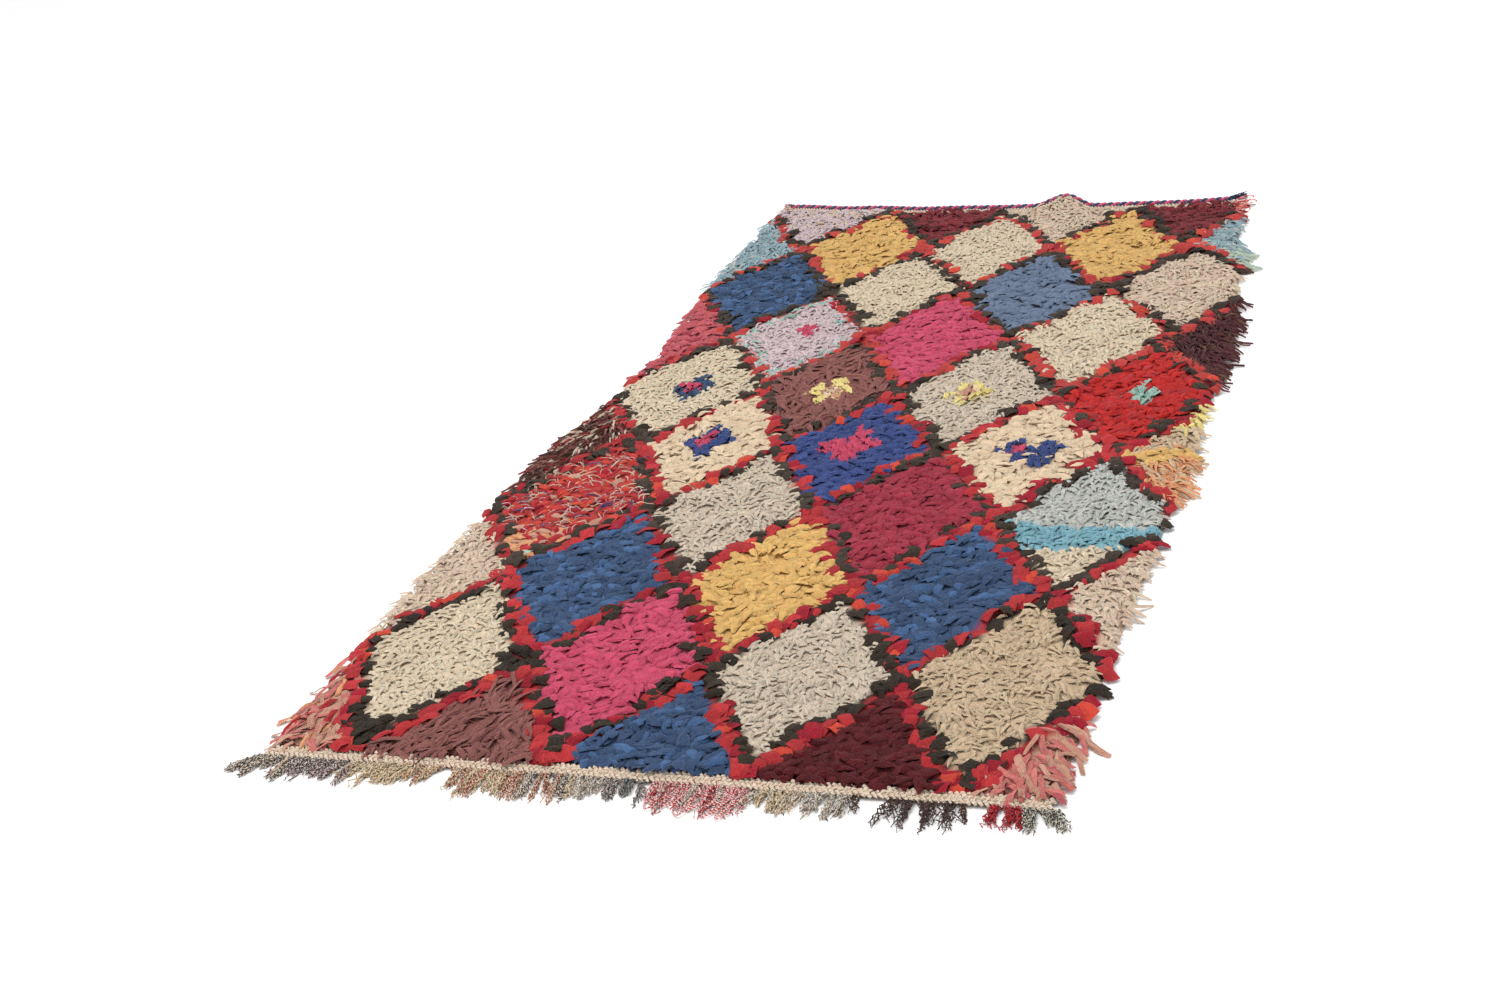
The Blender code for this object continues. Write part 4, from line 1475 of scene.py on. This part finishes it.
# %% The two twined bands and their stitches
Stitch = namedtuple("Stitch", "pitch length width slant height bulge")
Twining = namedtuple("Twining", "name end rows row_pitch first_row left right stitch node")
TWININGS = (
    Twining(
        name="far_band", end="far", rows=6, row_pitch=0.0072, first_row=0.6,
        left=SIDES[-1].left + 0.002, right=SIDES[-1].right, node="shag_rug",
        stitch=Stitch(pitch=0.0078, length=0.0096, width=0.0046, slant=0.75, height=0.0026, bulge=0.0026)),
    Twining(
        name="near_band", end="near", rows=3, row_pitch=0.0082, first_row=0.5,
        left=SIDES[0].left - 0.008, right=SIDES[0].right + 0.008, node="near_fringe",
        stitch=Stitch(pitch=0.0082, length=0.0130, width=0.0068, slant=0.62, height=0.0050, bulge=0.0026)),
)
STITCH_CUT = Cut(3, 5, (0.40, 1.0, 0.40), 0.80, 0.05)
STITCHES_FROM = -0.61
STITCHES_TO = 0.62
STITCHES = model_shapes(STITCH_CUT)


def twined_rows(band):
    """Knots for the stitches of a band, row by row from the woven end, trimmed at the corners."""
    stitch = band.stitch
    all_x, all_y, slants = [], [], []
    for number in range(band.rows):
        x = np.arange(STITCHES_FROM + (number % 2) * stitch.pitch / 2, STITCHES_TO, stitch.pitch)
        all_x.append(x)
        all_y.append(end_y(x, band.end) - (number + band.first_row) * band.row_pitch)
        slants.append(np.full(len(x), stitch.slant if number % 2 else -stitch.slant))
    x = np.concatenate(all_x)
    y = np.concatenate(all_y)
    count = len(x)
    heading = np.concatenate(slants) + between(-0.15, 0.15, count)
    knots = {
        "x": x - stitch.length / 2 * np.cos(heading),
        "y": y - stitch.length / 2 * np.sin(heading) + between(-0.0006, 0.0006, count),
        "heading": heading,
        "reach": np.full(count, stitch.length),
        "width": between(0.88, 1.12, count) * stitch.width,
        "base": np.full(count, stitch.height),
        "rise": between(0.7, 1.2, count) * stitch.bulge,
        "tip": np.full(count, -stitch.bulge),
        "sway": np.zeros(count),
        "roll": between(-0.3, 0.3, count),
        "twist": np.zeros(count),
        "kink": np.zeros(count),
        "waves": np.ones(count),
        "tint": between(0, 1, count),
    }
    return pick(knots, (knots["x"] > band.left) & (knots["x"] + knots["reach"] < band.right))


# %% Stitch the bands
BAND_TWISTS = 240
BAND_MARL = 0.5

band_wool = yarn_material("band_wool", Dye(206, 184, 162), Dye(232, 214, 194), BAND_TWISTS, BAND_MARL)
core_wool = yarn_material("core_wool", Dye(128, 106, 84), Dye(96, 78, 62), BAND_TWISTS, BAND_MARL)
band_triangles = 0
for band, knots in zip(TWININGS, [twined_rows(band) for band in TWININGS]):
    piece = join_parts(band.name, lay_by_chance(STITCHES, knots))
    dress(piece, band_wool, band.node)
    band_triangles += triangles(piece)
print("The bands have", band_triangles, "triangles")

# %% Lay the dark bundle of warps that the near band's stitches turn round
BAND_WIDTH = 0.025
CORE_WIDTH = 0.021
CORE_HEIGHT = 0.0062
CORE_POINTS = 160
CORE_SIDES = 8

core_x = np.linspace(SIDES[0].left, SIDES[0].right, CORE_POINTS)
core_y = end_y(core_x, "near") - BAND_WIDTH / 2
core = tube(np.stack((core_x, core_y, np.zeros_like(core_x)), axis=-1), CORE_WIDTH / 2, CORE_SIDES, 0.5)
core.points[:, 2] = CORE_HEIGHT / 2 + FLOOR_CLEARANCE + core.points[:, 2] * CORE_HEIGHT / CORE_WIDTH
near_core = join_parts("near_band_core", [core])
dress(near_core, core_wool, "near_fringe")
print("The bundle has", triangles(near_core), "triangles")

# %% [markdown]
# ## The fringe
#
# Below the near band hang the ends of the warps with whatever yarn was tied in beside them, so the
# fringe changes from bunch to bunch: cream wool, marled grey, rust, red loops, thin black cotton. Each
# bunch follows the solid's strands: where it starts and stops, how far it reaches and how its tips lean.
# The yarns of a bunch fall in locks, fan out and kink, and lie on the floor.

# %% The bunches of the fringe and the yarn they are made of
Bunch = namedtuple("Bunch", "start stop reach lean")
BUNCHES = (
    Bunch(start=-0.578, stop=-0.532, reach=0.056, lean=-0.038),
    Bunch(start=-0.532, stop=-0.385, reach=0.066, lean=-0.012),
    Bunch(start=-0.372, stop=-0.277, reach=0.058, lean=-0.018),
    Bunch(start=-0.262, stop=-0.062, reach=0.078, lean=0.004),
    Bunch(start=-0.055, stop=0.028, reach=0.060, lean=0.002),
    Bunch(start=0.042, stop=0.178, reach=0.084, lean=0.004),
    Bunch(start=0.192, stop=0.336, reach=0.062, lean=-0.002),
    Bunch(start=0.372, stop=0.474, reach=0.074, lean=0.003),
    Bunch(start=0.502, stop=0.590, reach=0.054, lean=0.010),
)
Yarn = namedtuple("Yarn", "first second marl thickness kink count")
YARNS = {
    "ash": Yarn(Dye(216, 202, 186), Dye(54, 45, 41), 1.0, 0.0024, 0.0018, 10),
    "oat": Yarn(Dye(224, 202, 172), Dye(184, 156, 122), 0.5, 0.0026, 0.0022, 10),
    "plum": Yarn(Dye(204, 188, 180), Dye(72, 44, 50), 1.0, 0.0024, 0.0020, 10),
    "rust": Yarn(Dye(216, 186, 156), Dye(146, 60, 44), 1.0, 0.0024, 0.0020, 9),
    "stone": Yarn(Dye(220, 208, 194), Dye(150, 136, 122), 0.6, 0.0024, 0.0022, 9),
    "teal": Yarn(Dye(150, 140, 134), Dye(30, 58, 58), 0.9, 0.0024, 0.0024, 8),
    "cherry": Yarn(Dye(232, 206, 196), Dye(182, 44, 62), 1.0, 0.0024, 0.0030, 4),
    "bark": Yarn(Dye(72, 50, 42), Dye(36, 25, 24), 0.5, 0.0022, 0.0038, 5),
    "scarlet_yarn": Yarn(Dye(190, 36, 44), Dye(140, 22, 32), 0.5, 0.0024, 0.0030, 8),
    "pepper": Yarn(Dye(206, 198, 182), Dye(44, 42, 38), 1.0, 0.0024, 0.0020, 9),
}
Stretch = namedtuple("Stretch", "stop yarns")
FRINGE_COLOURS = (
    Stretch(-0.545, {"ash": 4, "stone": 1}),
    Stretch(-0.525, {"oat": 3, "ash": 1}),
    Stretch(-0.420, {"plum": 5, "ash": 2}),
    Stretch(-0.310, {"oat": 1}),
    Stretch(-0.250, {"oat": 3, "rust": 2}),
    Stretch(-0.150, {"rust": 4, "oat": 2}),
    Stretch(-0.088, {"rust": 2, "ash": 2, "stone": 1}),
    Stretch(-0.029, {"stone": 3, "oat": 1}),
    Stretch(0.035, {"teal": 3, "plum": 1, "stone": 1}),
    Stretch(0.185, {"cherry": 5, "scarlet_yarn": 1, "stone": 1}),
    Stretch(0.307, {"oat": 3, "stone": 2}),
    Stretch(0.350, {"ash": 2, "bark": 1}),
    Stretch(0.490, {"bark": 1}),
    Stretch(0.545, {"scarlet_yarn": 4, "cherry": 1}),
    Stretch(0.640, {"pepper": 3, "ash": 1}),
)
LOCK_PITCH = 0.0098
LOCK_STEPS = (0.75, 1.30)
LOCK_SPREAD = 0.0075
LOCK_REACHES = (0.62, 1.0)
LOCK_LEANS = (-0.013, 0.009)
LOCK_SWAY = 0.008
BUNCH_FAN = 0.014
TIP_SPREAD = 0.0050
YARN_REACHES = (0.66, 1.04)
YARN_SWAY = 0.003
STRAY_YARNS = 0.25
FRINGE_CUT = Cut(2, 3, (1.0,) * 14 + (0.9, 0.6), 0.85, 0.03)
FRINGE_SHAPES = model_shapes(FRINGE_CUT)


def choose_yarn(x):
    """A yarn out of those that are tied in at this place."""
    stretch = next(stretch for stretch in FRINGE_COLOURS if x < stretch.stop)
    shares = np.array(list(stretch.yarns.values()), float)
    return chance.choice(list(stretch.yarns), p=shares / shares.sum())


def hang_fringe():
    """Every yarn of the fringe, lock by lock: root, reach, lean and sway, and the names of the yarns."""
    rows, names = [], []
    for bunch in BUNCHES:
        lock = bunch.start + 0.4 * LOCK_PITCH
        while lock < bunch.stop:
            fan = ((lock - bunch.start) / (bunch.stop - bunch.start) - 0.5) * BUNCH_FAN
            lock_reach = bunch.reach * between(*LOCK_REACHES)
            lock_lean = bunch.lean + fan + between(*LOCK_LEANS)
            lock_sway = between(-LOCK_SWAY, LOCK_SWAY)
            lock_yarn = choose_yarn(lock)
            for _ in range(YARNS[lock_yarn].count):
                root = lock + between(-0.5, 0.5) * LOCK_SPREAD
                lean = lock_lean + between(-1, 1) * TIP_SPREAD
                sway = lock_sway + between(-YARN_SWAY, YARN_SWAY)
                rows.append((root, lock_reach * between(*YARN_REACHES), lean, sway))
                names.append(choose_yarn(root) if between(0, 1) < STRAY_YARNS else lock_yarn)
            lock += LOCK_PITCH * between(*LOCK_STEPS)
    return (*np.array(rows).T, np.array(names))


# %% Hang the fringe
FRINGE_TUCK = 0.004
FRINGE_TWISTS = 150

root, reach, lean, sway, yarn_names = hang_fringe()
count = len(root)
fringe_knots = {
    "x": root,
    "y": end_y(root, "near") - BAND_WIDTH + FRINGE_TUCK,
    "heading": np.arctan2(-reach, lean),
    "reach": np.hypot(reach, lean),
    "width": np.array([YARNS[name].thickness for name in yarn_names]),
    "base": between(0.0022, 0.0054, count),
    "rise": between(0.0, 0.0035, count),
    "tip": between(-0.0062, -0.0010, count),
    "sway": sway,
    "roll": between(-3, 3, count),
    "twist": between(-2, 2, count),
    "kink": np.array([YARNS[name].kink for name in yarn_names]) * between(0.6, 1.3, count),
    "waves": between(3.0, 6.0, count),
    "tint": between(0, 1, count),
}
fringe_triangles = 0
for name, yarn in YARNS.items():
    parts = lay_by_chance(FRINGE_SHAPES, pick(fringe_knots, yarn_names == name))
    piece = join_parts("fringe_" + name, parts, ALL_SMOOTH)
    finish = yarn_material("yarn_" + name, yarn.first, yarn.second, FRINGE_TWISTS, yarn.marl)
    dress(piece, finish, "near_fringe")
    fringe_triangles += triangles(piece)
print(count, "fringe yarns,", fringe_triangles, "triangles")

# %% Leave loops of marled yarn uncut among the fringe
FRINGE_LOOPS = 26
FRINGE_LOOP_POINTS = 26
FRINGE_LOOP_GAP = 0.05
FRINGE_LOOP_ROOTS = (0.046, 0.172)
FRINGE_LOOP_DROPS = (0.034, 0.076)
FRINGE_LOOP_WIDTHS = (0.005, 0.012)
FRINGE_LOOP_BEND = 0.010
FRINGE_LOOP_SHAKE = 0.0014
FRINGE_LOOP_TUCK = 0.003
FRINGE_LOOP_HEIGHT = 0.0030
FRINGE_LOOP_RISES = (0, 0.004)
FRINGE_LOOP_RIPPLE = 0.0008
FRINGE_LOOP_TWISTS = 200
LOOP_RADIUS = 0.0012
LOOP_SIDES = 5

turn = np.linspace(FRINGE_LOOP_GAP, 2 * math.pi - FRINGE_LOOP_GAP, FRINGE_LOOP_POINTS)
loop_parts = []
for _ in range(FRINGE_LOOPS):
    hung = between(*FRINGE_LOOP_ROOTS)
    drop = between(*FRINGE_LOOP_DROPS)
    open_by = between(*FRINGE_LOOP_WIDTHS)
    bend = between(-FRINGE_LOOP_BEND, FRINGE_LOOP_BEND)
    shaken = FRINGE_LOOP_SHAKE * np.sin(5 * turn + between(0, 6))
    rise = between(*FRINGE_LOOP_RISES) * np.abs(np.sin(turn / 2 + 1))
    line = np.stack((
        hung + open_by * np.sin(turn) + bend * (1 - np.cos(turn)) / 2 + shaken,
        end_y(hung, "near") - BAND_WIDTH + FRINGE_LOOP_TUCK - drop * (1 - np.cos(turn)) / 2,
        FRINGE_LOOP_HEIGHT + rise + FRINGE_LOOP_RIPPLE * np.sin(3 * turn),
    ), axis=-1)
    loop_parts.append(tube(line, LOOP_RADIUS, LOOP_SIDES, between(0, 1)))
piece = join_parts("fringe_loops", loop_parts, ALL_SMOOTH)
yarn = YARNS["cherry"]
dress(piece, yarn_material("fringe_loop_yarn", yarn.first, yarn.second, FRINGE_LOOP_TWISTS, yarn.marl),
      "near_fringe")
print(FRINGE_LOOPS, "loops,", triangles(piece), "triangles")

# %% [markdown]
# ## The cord at the far end
#
# A thick cord of two plies is sewn along the far end, grey-blue wool twisted with pink. Each ply
# is a tube that winds round the cord's middle line, half a turn apart from the other. The middle line
# follows the woven end over the ruck, runs past the right-hand corner and turns away there, where the
# cord comes undone into a brush.

# %% The cord's middle line
CORD_WIDTH = 0.013
CORD_GAP = 0.0003
CORD_TWIST_PITCH = 0.031
CORD_END_REACH = 0.062
CORD_END_TURN = math.radians(48)
CORD_END_POINTS = 12
CORD_EDGE_POINTS = 120


def cord_route():
    """Close points along the far end and out past the corner."""
    across = np.arange(CORD_EDGE_POINTS + 1) / CORD_EDGE_POINTS
    x, edge = cloth_point(across, np.ones_like(across))
    z = ruck_lift(x, edge) + CORD_WIDTH / 2
    points = list(np.stack((x, edge + CORD_WIDTH / 2 + CORD_GAP, z), axis=-1))
    for step in range(CORD_END_POINTS):
        heading = CORD_END_TURN * float(ease(0, CORD_END_POINTS / 2, step))
        stride = np.array((math.cos(heading), math.sin(heading), 0)) * CORD_END_REACH / CORD_END_POINTS
        points.append(points[-1] + stride)
    return np.array(points)


# %% Twist the two plies
PLY_RADIUS = 0.0034
PLY_OFFSET = 0.0030
PLY_STEP = 0.0035
PLY_SIDES = 8
PLY_SHARP_ANGLE = 80
PLY_TWISTS = 160
PLY_MARL = 0.5
PLY_COLOURS = (
    ("cord_blue_ply", Dye(92, 98, 130), Dye(58, 62, 88)),
    ("cord_pink_ply", Dye(214, 112, 142), Dye(188, 72, 100)),
)
CORD_STOPS_SHORT = 0.070

route, route_at = resample(cord_route(), PLY_STEP)
route = route[route_at < route_at[-1] - CORD_STOPS_SHORT]
run = unit(np.gradient(route, axis=0))
cord_side = np.cross(run, (0, 0, 1.0))
cord_up = np.cross(cord_side, run)
twist = 2 * math.pi * np.arange(len(route)) * PLY_STEP / CORD_TWIST_PITCH
for start, (name, first, second) in zip((0.0, math.pi), PLY_COLOURS):
    offset = np.cos(twist + start)[:, None] * cord_side + np.sin(twist + start)[:, None] * cord_up
    ply = tube(route + offset * PLY_OFFSET, PLY_RADIUS, PLY_SIDES, 0.5)
    piece = join_parts(name, [ply], PLY_SHARP_ANGLE)
    dress(piece, yarn_material(name, first, second, PLY_TWISTS, PLY_MARL), "far_cord")
print("The cord has", len(route), "steps")

# %% [markdown]
# ## Loose ends
#
# At the right-hand corner the blue ply comes undone into a stiff brush, and red and pink yarn is knotted
# through the edge below it and left in loops. At the left-hand corner the cord starts in a short fray. Both
# ends are a few dozen yarns that fan out. A loop is a tube along a wandering ring, not quite closed.

# %% The brush at the cord's end and the fray at its start
LooseEnd = namedtuple("LooseEnd", "name heading fan yarns length first second marl")
LOOSE_ENDS = (
    LooseEnd("cord_brush", 0.66, 0.18, 34, 0.048, Dye(56, 62, 104), Dye(32, 36, 64), 0.4),
    LooseEnd("cord_fray", 2.60, 1.10, 20, 0.024, Dye(226, 190, 178), Dye(178, 60, 82), 1.0),
)
END_OVERLAP = 0.010
END_TWISTS = 130
LOOSE_YARN = 0.0026
ROOT_SPREAD = 0.002


def loose_yarns(place, end):
    """Short yarns that fan out from one end of the cord."""
    count = end.yarns
    heading = end.heading + between(-end.fan, end.fan, count)
    return {
        "x": place[0] - END_OVERLAP * np.cos(heading) + between(-ROOT_SPREAD, ROOT_SPREAD, count),
        "y": place[1] - END_OVERLAP * np.sin(heading) + between(-ROOT_SPREAD, ROOT_SPREAD, count),
        "heading": heading,
        "reach": between(0.8, 1.0, count) * end.length,
        "width": np.full(count, LOOSE_YARN),
        "base": between(0.003, 0.010, count),
        "rise": between(0.0, 0.003, count),
        "tip": between(-0.008, 0.004, count),
        "sway": between(-0.005, 0.005, count),
        "roll": between(-3, 3, count),
        "twist": between(-2, 2, count),
        "kink": between(0.0006, 0.0014, count),
        "waves": between(2, 4, count),
        "tint": between(0, 1, count),
    }


loose_triangles = 0
for place, end in zip((route[-1], route[0]), LOOSE_ENDS):
    part = part_of(FRINGE_SHAPES[0], loose_yarns(place, end), sinks=False)
    piece = join_parts(end.name, [part], ALL_SMOOTH)
    finish = yarn_material(end.name + "_wool", end.first, end.second, END_TWISTS, end.marl)
    dress(piece, finish, "far_cord")
    loose_triangles += triangles(piece)
print("The loose ends have", loose_triangles, "triangles")

# %% Loops of red and pink yarn on the right edge
EDGE_LOOPS = 9
EDGE_LOOP_POINTS = 22
EDGE_LOOP_TURN = 0.93
EDGE_LOOPS_ALONG = (0.958, 0.996)
EDGE_LOOP_SIZES = (0.010, 0.024)
EDGE_LOOP_DEPTH = 0.014
EDGE_LOOP_OUT = 0.8
EDGE_LOOP_WANDER = 0.25
EDGE_LOOP_HEIGHT = 0.006
EDGE_LOOP_TILT = 0.004
EDGE_LOOP_TWISTS = 60
EDGE_LOOP_COLOURS = (Dye(226, 150, 136), Dye(186, 50, 54))

turn = np.linspace(0, 2 * math.pi * EDGE_LOOP_TURN, EDGE_LOOP_POINTS)
loop_parts = []
for _ in range(EDGE_LOOPS):
    edge_x, edge_y = cloth_point(1.0, between(*EDGE_LOOPS_ALONG))
    size = between(*EDGE_LOOP_SIZES)
    wander = 1 + EDGE_LOOP_WANDER * np.sin(2 * turn + between(0, 6))
    tilt = EDGE_LOOP_TILT * between(0.3, 1.0)
    line = np.stack((
        edge_x + EDGE_LOOP_OUT * size + size * wander * np.cos(turn),
        edge_y + EDGE_LOOP_DEPTH * wander * np.sin(turn),
        EDGE_LOOP_HEIGHT + between(0, EDGE_LOOP_HEIGHT) + tilt * np.sin(turn + 1),
    ), axis=-1)
    loop_parts.append(tube(line, LOOP_RADIUS, LOOP_SIDES, between(0, 1)))
piece = join_parts("edge_loops", loop_parts, ALL_SMOOTH)
dress(piece, yarn_material("loop_yarn", *EDGE_LOOP_COLOURS, EDGE_LOOP_TWISTS, 1.0), "shag_rug")
print(EDGE_LOOPS, "loops,", triangles(piece), "triangles")
